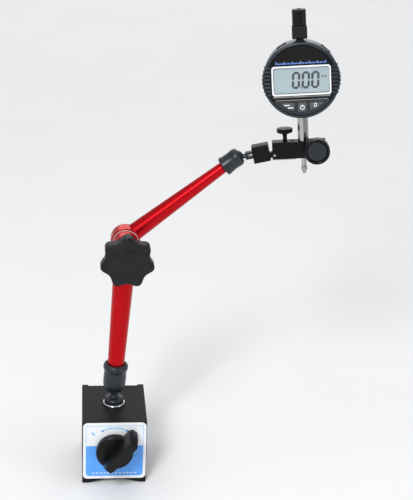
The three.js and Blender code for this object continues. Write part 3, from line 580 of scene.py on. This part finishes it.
def build_switch():
    disc = lathe(softened([(0, 0), (14.5, 0), (14.5, 5.2), (13.2, 6), (0, 6.3)], 0.8, 5))
    reach, tail, side = 24, 12.5, 4.2
    outline = [(0.8, -tail), (side, 6 - tail), (side, reach - 3), (side - 1.8, reach), (1.8 - side, reach),
               (-side, reach - 3), (-side, 6 - tail), (-0.8, -tail)]
    grip = prism(softened(outline, 0.6, 4, closed=True), GRIP_FOOT, GRIP_TOP, edge=0.7, steps=4)
    for vert in grip.verts:  # the grip narrows a little towards its top
        lean = max(0.0, (vert.co.z / MM - GRIP_FOOT) / (GRIP_TOP - GRIP_FOOT))
        vert.co.x *= 1 - 0.14 * lean
    grip = cut(grip, end_slope(reach, 3.5, 11, pi / 2), end_slope(tail, 4, 8, -pi / 2))
    knob = cut(fused(disc, grip), rod(4.3, -1, 10.9))
    placed(knob, shift(0, 0, KNOB_SEAT) @ Matrix.Rotation(radians(OFF_ANGLE), 4, "Z"))
    piece("switch_grip", knob, gloss_black, SWITCH, "switch", ["switch_knob"])


# ------------------------------------------------------------------ arms
LOWER_BALL = 72.5  # height of the lower ball's centre
LOWER_BALL_RADIUS = 7.5
LOWER_NECK = 2.9
UPPER_BALL_RADIUS = 5.6
UPPER_NECK = 1.7
ARM = 117.1  # from the lower ball to the elbow
REACH = 105.5  # from the elbow to the upper ball, along the arm
UPPER_OFFSET = 16.5  # how far behind the elbow's joint the upper arm lies


def build_lower_stud():
    start = degrees(asin(LOWER_NECK / LOWER_BALL_RADIUS)) - 90
    body = lathe([
        (0, 48), (4, 48), (4, 57.1), *arc(7.3, 57.5, 0.4, 0.4, -90, 0, 3),
        *arc(0, 59.2, 7.7, 2.6, 0, 60, 8), (3.4, 61.8), (3.0, 62.6), (LOWER_NECK, 64.2),
        *arc(0, LOWER_BALL, LOWER_BALL_RADIUS, LOWER_BALL_RADIUS, start, 90, 24),
    ])
    piece("ball_stud", body, slate, BASE, "ball_stud", ["lower_ball_stud"])


def head_shape(profile):
    return front(lathe(profile))


def build_lower_arm():
    tube = lathe(softened([
        (0, 10.2), (6.1, 10.2), (6.1, 17.6), (6.5, 18.2), (8.4, ARM - 11.7), (7.6, ARM - 10.5),
        (7.6, ARM - 3), (0, ARM - 3),
    ], 0.4))
    head = head_shape([(0, -7.7), *arc(9.6, -7.3, 0.4, 0.4, -90, 0, 3), (10, 0.5),
                       *arc(5.2, 0.5, 4.8, 7.4, 0, 88, 14), (0, 8)])
    hole = placed(front(rod(3.3, -20, 20)), shift(0, 0, ARM))
    bore = rod(3.6, 0, ARM)
    arm = cut(fused(tube, placed(head, shift(0, 0, ARM))), bore, hole)
    piece("lower_red_arm", arm, red_anodised, LOWER, "lower_arm", ["lower_arm_tube"])

    inner = [(6.9, 16.9), (6.9, 9.9), (7.8, 9.9), (7.8, 0.6), *arc(0, 0, 7.8, 7.8, -3, -30, 4), (6.5, -4.3)]
    outer = [(7.1, -4.4), (8.0, -2.8), (8.6, -0.8), (8.85, 1.5), (8.9, 5), (8.8, 9.5), (8.8, 11.4),
             (8.95, 12.6), *arc(8.6, 15.4, 1.1, 2.5, -50, 75, 10), (8.3, 18.4), (7.5, 18.5)]
    collar = lathe(outer + inner + outer[:1])
    piece("lower_ball_collar", collar, slate, LOWER, "lower_arm", ["lower_collar"], angle=40)

    washer = ring_profile([(3.3, -8.6), (10.35, -8.6), (10.35, -8.0), (3.3, -8.0)], 0.15)
    piece("pale_elbow_washer", placed(head_shape(washer), shift(0, 0, ARM)), nylon, LOWER, "lower_arm",
          ["elbow_washer"])


STAR_LOBES = 7
STAR_OUTER = 20.3
STAR_INNER = 16.9
STAR_BACK = 21.3
STAR_FRONT = 31


def star_outline():
    """Round lobes with wide scallops between, one lobe straight up."""
    count = STAR_LOBES * 24
    points = []
    for i in range(count):
        angle = 2 * pi * i / count
        lobe = ((1 + cos(STAR_LOBES * (angle - pi / 2))) / 2) ** 1.25
        radius = STAR_INNER + (STAR_OUTER - STAR_INNER) * lobe
        points.append((radius * cos(angle), radius * sin(angle)))
    return points


def build_star_knob():
    star = prism(star_outline(), STAR_BACK, STAR_FRONT, edge=1.3, steps=5)
    hub = lathe([(0, 8.4), (6.2, 8.4), (6.6, 8.9), (7.4, 12), *arc(12.5, 20.0, 5.0, 5.6, 215, 160, 8),
                 (9, 22.5), (0, 22.5)])
    recess = lathe(ring_profile([(9.7, STAR_FRONT - 0.5), (10.3, STAR_FRONT - 0.5), (10.3, STAR_FRONT + 2),
                                 (9.7, STAR_FRONT + 2)]))
    bore = rod(3.3, 0, STAR_FRONT - 3)
    knob = cut(fused(star, hub), recess, bore)
    piece("star_grip", knob, matte_black, ELBOW, "elbow_knob", ["star_knob"], angle=40)
    cap = lathe([(0, STAR_FRONT - 0.2), (9.6, STAR_FRONT - 0.2), (9.6, STAR_FRONT + 0.1),
                 *arc(0, STAR_FRONT + 0.1, 9.4, 0.55, 8, 90, 10)])
    piece("star_grip_cap", cap, matte_black, ELBOW, "elbow_knob", ["star_knob_cap"])


def build_upper_arm():
    offset = shift(0, UPPER_OFFSET, 0)
    tube = [(0, 2), (7.0, 2), (4.3, REACH - 13), (3.8, REACH - 12.6), (3.8, REACH - 8.6), (0, REACH - 8.6)]
    tube = placed(lathe(softened(tube, 0.15)), offset)
    head = head_shape([(0, -26), *arc(0, -18, 11.3, 8, -84, 0, 18), (11.3, -9.4),
                       *arc(10.8, -9.4, 0.5, 0.5, 0, 90, 4), (0, -8.9)])
    bolt = front(rod(3.3, -22, 0))
    bore = placed(rod(2.1, 0, REACH), offset)
    arm = cut(fused(head, tube), bore, bolt)
    piece("upper_red_arm", arm, red_anodised, UPPER, "upper_arm", ["upper_arm_tube"])

    inner = [(4.5, -11.4), (4.5, -8.1), (5.9, -8.1), (5.9, -0.6), *arc(0, 0, 5.9, 5.9, -4, 34, 6), (4.7, 3.4)]
    outer = [(5.4, 3.5), (6.5, 2.7), (7.0, 1.3), (7.1, 0), (6.85, -2.4), (6.8, -5), (7.0, -8), (7.4, -10.4),
             (7.45, -11.2), (6.9, -12.0), (4.9, -12.0)]
    collar = lathe(ring_profile(outer[::-1] + inner[::-1], 0.35))
    piece("upper_ball_collar", placed(collar, shift(0, UPPER_OFFSET, REACH)), slate, UPPER, "upper_arm",
          ["upper_collar"], angle=40)


# ------------------------------------------------------------------ link and clamp
PIVOT_X = 28.8
PIVOT_Z = -2.9
HALF_DEPTH = 5
PIN_HOLE = 1.15
STEM_X = 21.7
THUMB_X = 8.1
SET_SCREW_X = 13.6
CLAMP_SCREW = (31.3, 0, 3.9)
CLAMP_SCREW_HOLE = 2.3


def build_link():
    end = 90 - degrees(asin(UPPER_NECK / UPPER_BALL_RADIUS))
    sphere = arc(0, 0, UPPER_BALL_RADIUS, UPPER_BALL_RADIUS, -90, end, 20)
    ball = lathe([*sphere, (UPPER_NECK, 8.2), (0, 8.2)])
    piece("upper_ball_end", placed(ball, Matrix.Rotation(pi / 2, 4, "Y")), slate, LINK, "upper_ball",
          ["upper_ball"])

    shank = block(7, 14.1, -2.75, 2.75, -2.75, 2.75, edge=0.5)
    slot = block(9.2, 15, -5, 5, -0.85, 0.85, edge=0)
    shank = cut(shank, slot, placed(rod(2, 0, 8.6), Matrix.Rotation(pi / 2, 4, "Y")))
    piece("slotted_shank", shank, slate, LINK, "pivot_link", ["slotted_stem"])

    body = block(12.65, 25.35, -HALF_DEPTH, HALF_DEPTH, -6.5, 6.5, edge=0.55)
    tongue = [(24.6, PIVOT_Z - 2.2), (PIVOT_X + 11, PIVOT_Z - 1.6), (PIVOT_X + 11, PIVOT_Z + 2.2),
              (24.6, PIVOT_Z + 2.2)]
    tongue = front(prism(softened(tongue, 0.5, closed=True), -2, 2, edge=0.2))
    pin_hole = placed(front(rod(PIN_HOLE, -10, 10)), shift(PIVOT_X, 0, PIVOT_Z))
    socket = block(11, 14.45, -3.05, 3.05, -3.05, 3.05, edge=0)
    solid = cut(fused(body, tongue), pin_hole, socket)
    piece("pivot_block_body", solid, block_black, LINK, "pivot_link", ["pivot_block"])


def build_clamp():
    body = block(-1.7, 38.1, -HALF_DEPTH, HALF_DEPTH, -3.3, 9.6, edge=0.55)
    cutters = [
        block(-3, PIVOT_X - 16.3, -2.4, 2.4, -5, 5.8, edge=0),
        block(STEM_X, 40, -0.6, 0.6, -5, 11, edge=0),
        placed(rod(4.3, -10, 20), shift(STEM_X, 0, 0)),
        placed(rod(1.9, 4, 20), shift(THUMB_X, 0, 0)),
        placed(rod(1.8, 6.6, 20), shift(SET_SCREW_X, 0, 0)),
        front(rod(PIN_HOLE, -10, 10)),
        placed(front(rod(CLAMP_SCREW_HOLE, -10, 10)), shift(*CLAMP_SCREW)),
    ]
    piece("clamp_block_body", cut(body, *cutters), block_black, CLAMP, "clamp_body", ["clamp_block"])
    pin = front(rod(1.0, -5.4, 5.4, edge=0.25))
    piece("bright_pivot_pin", pin, steel, CLAMP, "clamp_body", ["pivot_pin"])
    nut = prism(hexagon(7), -8.2, -5.3, edge=0.35)
    nut = placed(front(cut(nut, rod(CLAMP_SCREW_HOLE, -20, 0))), shift(*CLAMP_SCREW))
    piece("hex_clamp_nut", nut, slate, CLAMP, "clamp_body", ["clamp_nut"])
    screw = placed(cut(rod(1.5, 7, 9, edge=0.15), prism(hexagon(1.5), 8, 10)), shift(SET_SCREW_X, 0, 0))
    piece("socket_set_screw", screw, slate, CLAMP, "clamp_body", ["set_screw"])

    thumb = lathe([(0, 4.2), (1.5, 4.2), (1.6, 4.5), (1.6, 13.8), (2.1, 14.6), (3.2, 15.2), (4.9, 15.9),
                   *arc(5.1, 16.8, 0.9, 0.8, -60, 0, 4), *arc(5.3, 18.6, 0.7, 0.7, 0, 80, 6), (4.4, 19.4),
                   (3.8, 19.2), (0, 19.2)])
    piece("thumb_screw", thumb, block_black, CLAMP @ shift(THUMB_X, 0, 0), "fine_screw", ["fine_screw"])


def build_clamp_knob():
    radius, front_face, back_face = 9.5, 17, 9.2
    recess = front_face - 1.6
    body = lathe(softened([
        (0, 5.3), (6, 5.3), (6, back_face), (radius, back_face), (radius, front_face), (7.7, front_face),
        (7.2, recess), (0, recess),
    ], 0.8, 5))
    body = cut(body, rod(CLAMP_SCREW_HOLE, 0, front_face - 4))
    piece("clamp_knob_grip", body, gloss_black, KNOB, "clamp_knob", ["clamp_knob"])
    disc = lathe([(0, recess - 0.2), (7.0, recess - 0.2), *arc(6.8, recess + 0.3, 0.2, 0.2, 0, 90, 3),
                  (4, recess + 0.6), (0, recess + 0.7)])
    piece("clamp_knob_disc", disc, slate, KNOB, "clamp_knob")


# ------------------------------------------------------------------ indicator body
HEIGHT = 53.2  # from the gauge's joint in the clamp up to the dial's middle
CASE_RADIUS = 27.4
COVER_RADIUS = 26.8
COVER_SCREWS = 20.5  # radius of the circle that the rear screws stand on
CASE_BACK = -9.5
BEZEL_RADIUS = 28.7
BEZEL_BACK = 7.6
DIAL_FRONT = 12
PANEL_BACK = 9.8
PANEL_FRONT = 11.1


def build_case():
    lip = BEZEL_BACK - 0.3
    profile = [(0, CASE_BACK), (CASE_RADIUS, CASE_BACK), (CASE_RADIUS, lip), (24.4, lip), (24.4, 8.2),
               (23.4, 8.2), (23.4, CASE_BACK + 1.8), (0, CASE_BACK + 1.8)]
    shell = lathe(softened(profile, 0.9, 4), FINE_ROUND)
    pockets = []
    for angle, width in ((47, 9.4), (120, 8.4)):
        pocket = block(24.5, 33, -width / 2, width / 2, -5.8, 1.1, edge=0)
        pockets.append(placed(pocket, Matrix.Rotation(radians(angle), 4, "Z")))
    holes = [placed(rod(4.3, 10 - HEIGHT, 40 - HEIGHT), TO_FRONT.inverted()),
             placed(rod(3.2, 60 - HEIGHT, 90 - HEIGHT), TO_FRONT.inverted())]
    case = cut(shell, *pockets, *holes)
    piece("case_shell", case, case_grey, FACE, "gauge", ["gauge_case"])
    for name, node, angle, width in (
        ("battery_tray", "battery_drawer", 47, 8.8), ("port_cover", "data_port_plug", 120, 7.8),
    ):
        lid = block(24.8, CASE_RADIUS + 0.5, -width / 2, width / 2, -5.5, 0.8, edge=0.5)
        grip = joined(*[block(26, CASE_RADIUS + 0.62, -width / 2 + 1.2 + 1.1 * i, -width / 2 + 1.6 + 1.1 * i,
                              -4.5, -0.2, edge=0.12) for i in range(6)])
        lid = placed(joined(lid, grip), Matrix.Rotation(radians(angle), 4, "Z"))
        piece(name, lid, matte_black, FACE, "gauge", [node])


def build_back_cover():
    cover = lathe(softened([(0, CASE_BACK - 1.9), (COVER_RADIUS, CASE_BACK - 1.9),
                            (COVER_RADIUS, CASE_BACK - 0.3), (0, CASE_BACK - 0.3)], 0.6, 4), FINE_ROUND)
    places = [(COVER_SCREWS * cos(radians(a)), COVER_SCREWS * sin(radians(a))) for a in (45, 135, 225, 315)]
    holes = [placed(rod(1.9, CASE_BACK - 5, CASE_BACK - 0.9), shift(x, y, 0)) for x, y in places]
    groove = lathe(ring_profile([(16, CASE_BACK - 3), (16.6, CASE_BACK - 3), (16.6, CASE_BACK - 1.6),
                                 (16, CASE_BACK - 1.6)]), FINE_ROUND)
    piece("back_plate", cut(cover, groove, *holes), matte_black, FACE, "gauge", ["back_cover"])
    for i, (x, y) in enumerate(places):
        head = rod(1.6, CASE_BACK - 2.1, CASE_BACK - 1.2, edge=0.25)
        cross = [block(-1.1, 1.1, -0.22, 0.22, CASE_BACK - 3, CASE_BACK - 1.6, edge=0),
                 block(-0.22, 0.22, -1.1, 1.1, CASE_BACK - 3, CASE_BACK - 1.6, edge=0)]
        screw = placed(cut(head, *cross), shift(x, y, 0))
        piece(f"cross_screw_{i + 1}", screw, steel, FACE, "gauge", [f"back_screw_{i + 1}"])


def build_stem_and_cap():
    stem = lathe(ring_profile([(2.2, -0.1), (4, -0.1), (4, 29.3), (2.2, 29.3)], 0.3))
    piece("polished_stem", stem, steel, GAUGE, "gauge", ["gauge_stem"])
    foot = HEIGHT + BEZEL_RADIUS + 0.3
    boss = block(-5.5, 5.5, -4.6, 4.6, foot, 91.2, edge=0.7, steps=4)
    windows = [block(-4.1, 4.1, y - 0.5, y + 0.5, foot + 1.6, 89.8, edge=0.3) for y in (-4.9, 4.9)]
    windows += [block(x - 0.5, x + 0.5, -3.2, 3.2, foot + 1.6, 89.8, edge=0.3) for x in (-5.8, 5.8)]
    neck = rod(2.9, HEIGHT + CASE_RADIUS - 5, foot + 1)
    boss = cut(fused(boss, neck), rod(2.2, 0, 120), *windows)
    piece("spindle_boss", boss, matte_black, GAUGE, "gauge", ["spindle_housing"])
    rim, top, bore = 91.5, 103, 2.6
    outside = [(bore, rim), (5.1, rim), (5.1, top), (1.6, top), (1.4, top + 0.6), (0, top + 0.6)]
    cap = lathe(softened(outside, 0.45, 4) + [(0, top - 1.2), (bore, top - 1.2), (bore, rim)])
    piece("spindle_cap", cap, gloss_black, GAUGE, "gauge", ["top_cap"])


def build_spindle():
    shaft = lathe(softened([(0, -12.9), (1.9, -12.9), (1.9, 84), (0, 84)], 0.3))
    piece("measuring_spindle", shaft, steel, GAUGE, "spindle", ["spindle"])
    holder = lathe([*arc(0, -17.7, 1.5, 1.5, -90, 25, 12), (1.6, -16.6), (2.1, -16.4), (2.25, -16.2),
                    (2.25, -13.5), (2.05, -13.2), (0, -13.2)], SMALL_ROUND)
    cutters = []
    knurls = 24
    for i in range(knurls):
        groove = rod(0.16, -16.0, -13.7, 6)
        cutters.append(placed(groove, Matrix.Rotation(2 * pi * i / knurls, 4, "Z") @ shift(2.28, 0, 0)))
    piece("contact_tip", cut(holder, joined(*cutters)), steel, GAUGE, "spindle", ["contact_point"])


# ------------------------------------------------------------------ indicator face
BEZEL_INNER = 25.6
RIB_COUNT = 8
RIB_PITCH = 2.8


def rib(y, side):
    """A rounded bar that reaches in over the panel and carries on down the bezel's side."""
    half = 0.85
    near, far = max(abs(y) - half, 0), abs(y) + half
    reach = sqrt(BEZEL_RADIUS ** 2 - far ** 2)
    start = sqrt(BEZEL_INNER ** 2 - near ** 2) + 0.1
    skirt = sqrt(27.75 ** 2 - near ** 2)
    top, foot, shelf = DIAL_FRONT, BEZEL_BACK - 3.1, BEZEL_BACK + 0.2
    inner, overlap = 22.7, PANEL_FRONT - 0.1
    outline = [
        (skirt, foot), (reach, foot), (reach, top - 1.7), (reach - 0.5, top - 0.6), (reach - 1.5, top),
        (inner, top), (inner, overlap), (start, overlap), (start, shelf), (skirt, shelf),
    ]
    bar = prism(outline, -half, half, edge=0.4, steps=3)
    bar = tidy(placed(bar, Matrix.Rotation(pi / 2, 4, "X")))
    return placed(bar, Matrix.Rotation(0 if side > 0 else pi, 4, "Z") @ shift(0, y * side, 0))


def build_bezel():
    profile = [
        (27.7, BEZEL_BACK - 3.2), (27.9, BEZEL_BACK - 3.2), (27.9, DIAL_FRONT - 2.4),
        *arc(26.6, DIAL_FRONT - 2.0, 1.3, 2.0, 0, 90, 8), (26.1, DIAL_FRONT), (25.85, DIAL_FRONT - 0.3),
        (BEZEL_INNER, DIAL_FRONT - 1.0), (BEZEL_INNER, BEZEL_BACK), (27.7, BEZEL_BACK),
    ]
    ring = lathe(ring_profile(profile), BEZEL_ROUND)
    # The ring is lower between the grip ribs of each side.
    troughs = [block(side * 27 - 4, side * 27 + 4, -11.6, 11.6, DIAL_FRONT - 2.4, 14, edge=0.6)
               for side in (-1, 1)]
    middle = (RIB_COUNT - 1) / 2
    ribs = [rib((i - middle) * RIB_PITCH, side) for side in (-1, 1) for i in range(RIB_COUNT)]
    piece("ribbed_bezel", joined(cut(ring, *troughs), *ribs), bezel_slate, FACE, "face", ["bezel"])


WINDOW = (43.0, 21.7)
KEYS = {"top": -16.0, "inner": 5.4, "outer": 15.6, "middle": 3.1, "reach": 22.9}


def key_outline(side, grow=0.0):
    """The middle key is a rectangle, and the side keys end on a circle round the dial."""
    reach = KEYS["reach"] + grow
    top = KEYS["top"] + grow
    if side == 0:
        x = KEYS["middle"] + grow
        return [(-x, -reach), (x, -reach), (x, top), (-x, top)]
    inner, outer = KEYS["inner"] - grow, KEYS["outer"] + grow
    first, last = acos(inner / reach), acos(outer / reach)
    rim = [(reach * cos(first + (last - first) * i / 12), -reach * sin(first + (last - first) * i / 12))
           for i in range(13)]
    outline = rim + [(outer, top), (inner, top)]
    return outline if side > 0 else [(-x, y) for x, y in reversed(outline)]


def build_face_panel():
    radius = 25.3
    profile = [(0, PANEL_BACK), (radius, PANEL_BACK), (radius, PANEL_FRONT), (0, PANEL_FRONT)]
    panel = lathe(softened(profile, 0.2), FINE_ROUND)
    holes = [prism(rounded_rectangle(WINDOW[0] + 0.6, WINDOW[1] + 0.6, 2.2), 0, 20)]
    holes += [prism(key_outline(side, 0.3), 0, 20) for side in (-1, 0, 1)]
    piece("gloss_panel", cut(panel, *holes), panel_gloss, FACE, "face", ["face_panel"])

    # Grey surround of the key area, and two bright lines below the window.
    keys_top = -14.9
    edge = 25.2
    first = degrees(asin(-keys_top / edge))
    apron = arc(0, 0, edge, edge, -180 + first, -first, 40)
    apron = prism(apron, PANEL_FRONT - 0.05, PANEL_FRONT + 0.16, edge=0.05)
    apron = cut(apron, *[prism(key_outline(side, 0.35), 0, 20) for side in (-1, 0, 1)])
    piece("key_surround", apron, bezel_slate, FACE, "face")
    for name, y, half, tall in (("upper", -11.75, 20.6, 0.85), ("lower", -14.1, 18.8, 0.5)):
        bar = block(-half, half, y - tall / 2, y + tall / 2, PANEL_FRONT - 0.1, PANEL_FRONT + 0.35, edge=0.15)
        piece(f"{name}_bright_line", bar, case_grey, FACE, "face")

    # Graduation in place of the printed legend.
    ticks = []
    for i in range(37):
        tall = 2.1 if i % 6 == 0 else 1.1
        x = -18.0 + i
        tick = rounded_rectangle(0.42, tall, 0.1, x, 12.1 + tall / 2, steps=2)
        ticks.append(prism(tick, PANEL_FRONT, PANEL_FRONT + 0.06))
    piece("blue_graduation", joined(*ticks), scale_blue, FACE, "face")


INK_BACK = DIAL_FRONT - 2.5
INK_FRONT = DIAL_FRONT - 2.42
# The bars of a zero: across and up in units of half the digit's size, and whether it is upright.
ZERO_BARS = [
    (0, 1, False), (-1, 0.5, True), (1, 0.5, True), (-1, -0.5, True), (1, -0.5, True), (0, -1, False),
]


def digit_zero(x, y, width, height, thick):
    """The six bars of a zero, as pointed strips."""
    strips = []
    half_w, half_h = (width - thick) / 2, (height - thick) / 2
    for across, up, upright in ZERO_BARS:
        cx, cy = x + across * half_w, y + up * half_h
        length = half_h / 2 - 0.1 if upright else half_w - 0.1
        t = thick / 2
        outline = [(-length, 0), (-length + t, -t), (length - t, -t)]
        outline += [(length, 0), (length - t, t), (-length + t, t)]
        if upright:
            outline = [(-b, a) for a, b in outline]
        strips.append(prism([(cx + a, cy + b) for a, b in outline], INK_BACK, INK_FRONT))
    return strips


def build_display():
    outer = rounded_rectangle(*WINDOW, 2.2)
    inner = rounded_rectangle(WINDOW[0] - 2.4, WINDOW[1] - 2.4, 1.3)
    piece("white_window_frame", band(outer, inner, PANEL_BACK, DIAL_FRONT - 0.35, edge=0.25), white_plastic,
          FACE, "face", ["window_frame"])
    pane = prism(rounded_rectangle(WINDOW[0] - 2.8, WINDOW[1] - 2.8, 1.1), DIAL_FRONT - 1.5, DIAL_FRONT - 0.9,
                 edge=0.1)
    piece("clear_pane", pane, window_clear, FACE, "face", ["display_window"])
    screen = block(-20.1, 20.1, -9.3, 9.3, DIAL_FRONT - 4, DIAL_FRONT - 2.5, edge=0.1)
    piece("display_screen", screen, lcd_grey, FACE, "face", ["lcd_panel"])
    bars = []
    for x in (-3.9, 3.2, 10.1):
        bars += digit_zero(x, 0.0, 6.0, 12.6, 1.75)
    lean = Matrix.Identity(4)  # the digits lean a little to the right
    lean[0][1] = 0.06
    for bar in bars:
        placed(bar, lean)
    dot = prism(rounded_rectangle(0.9, 0.9, 0.2, -0.4, -5.5, steps=2), INK_BACK, INK_FRONT)
    piece("display_digits", joined(*bars, dot), lcd_ink, FACE, "face")

    # The unit is two marks, each of three strokes under a bar.
    unit = []
    thin = 0.32
    for x in (15.4, 17.6):
        for offset in (-0.6, 0.0, 0.6):
            stroke = rounded_rectangle(thin, 1.3, 0.08, x + offset, 2.0, steps=2)
            unit.append(prism(stroke, INK_BACK, INK_FRONT))
        roof = rounded_rectangle(1.5, thin, 0.08, x, 2.6, steps=2)
        unit.append(prism(roof, INK_BACK, INK_FRONT))
    piece("display_unit", joined(*unit), lcd_ink, FACE, "face")


def build_keys():
    top = DIAL_FRONT - 0.1
    low, high = top - 0.02, top + 0.05  # of the marks
    for side, name in ((-1, "left"), (0, "middle"), (1, "right")):
        outline = softened(key_outline(side), 0.7, 4, closed=True)
        cap = prism(outline, PANEL_BACK - 0.6, top, edge=0.35)
        piece(f"{name}_key", cap, button_grey, FACE, f"button_{name}", [f"button_{name}"])

    def legend(name, body, *shapes):
        piece(name, joined(*shapes), white_ink, FACE, body)

    # Two bars, a ring with a stroke, and a long ring mark the three keys.
    bars = [prism(rounded_rectangle(4.0, 0.7, 0.2, x, y, steps=2), low, high)
            for x, y in ((-11.2, -17.6), (-8.6, -19.6))]
    legend("left_key_mark", "button_left", *bars)
    outer, inner = [arc(0, -19.6, radius, radius, 0, 350, 35) for radius in (1.7, 1.2)]
    stroke = prism(rounded_rectangle(0.5, 1.8, 0.2, 0, -18.4, steps=2), low, high)
    legend("middle_key_mark", "button_middle", band(outer, inner, low, high), stroke)
    outer = rounded_rectangle(2.0, 3.0, 0.9, 9.6, -18.2)
    inner = rounded_rectangle(1.1, 2.1, 0.45, 9.6, -18.2)
    legend("right_key_mark", "button_right", band(outer, inner, low, high))


# ------------------------------------------------------------------ stage
def build_stage():
    bpy.ops.mesh.primitive_plane_add(size=12, location=(0, 0, -0.0002))
    floor = bpy.context.object
    floor.name = "floor"
    material = surface("floor_white", (0.78, 0.785, 0.79), (0.82, 0.82, 0.825), 0.7, broad=2.5, grain=300,
                       depth=0.0, specular=0.2)
    floor.data.materials.append(material)

    world = bpy.data.worlds.new("studio")
    bpy.context.scene.world = world
    world.use_nodes = True
    background = world.node_tree.nodes["Background"]
    background.inputs["Color"].default_value = (0.95, 0.97, 1.0, 1)
    background.inputs["Strength"].default_value = 0.5
    bpy.context.scene.view_settings.view_transform = "Standard"

    def light(name, place, aim, size, power):
        lamp = bpy.data.lights.new(name, "AREA")
        lamp.shape = "RECTANGLE"
        lamp.size, lamp.size_y = size
        lamp.energy = power
        holder = bpy.data.objects.new(name, lamp)
        bpy.context.scene.collection.objects.link(holder)
        holder.location = place
        holder.rotation_euler = (Vector(aim) - Vector(place)).to_track_quat("-Z", "Y").to_euler()

    aim = (0, 0, 0.15)
    light("overhead_light", (0, 1.2, 2.6), (0, 1.2, 0), (4.4, 4.4), 28)
    light("key_light", (-0.7, -1.5, 1.6), aim, (0.5, 0.8), 33)
    light("fill_light", (1.5, -0.9, 0.8), aim, (0.5, 1.2), 5)
    light("back_light", (0.2, 2.6, 1.25), aim, (2.6, 0.8), 12)


def build_camera():
    """Stands in front of the base, a little to its left, and looks down at the object."""
    lens = bpy.data.cameras.new("camera")
    lens.lens = 87.08
    lens.sensor_width = 36
    camera = bpy.data.objects.new("camera", lens)
    bpy.context.scene.collection.objects.link(camera)
    yaw, pitch, roll = radians(6.787), radians(22.84), radians(2.762)
    turn = Matrix.Rotation(-yaw, 4, "Z") @ Matrix.Rotation(pi / 2 - pitch, 4, "X")
    turn = turn @ Matrix.Rotation(roll, 4, "Z")
    camera.matrix_world = BASE @ shift(-31.8, -840, 543.5) @ turn
    bpy.context.scene.camera = camera


finish_frame_nodes()
build_poles()
build_front_plate()
build_base_details()
build_switch()
build_lower_stud()
build_lower_arm()
build_star_knob()
build_upper_arm()
build_link()
build_clamp()
build_clamp_knob()
build_case()
build_back_cover()
build_stem_and_cap()
build_spindle()
build_bezel()
build_face_panel()
build_display()
build_keys()
build_stage()
build_camera()

bpy.context.view_layer.update()
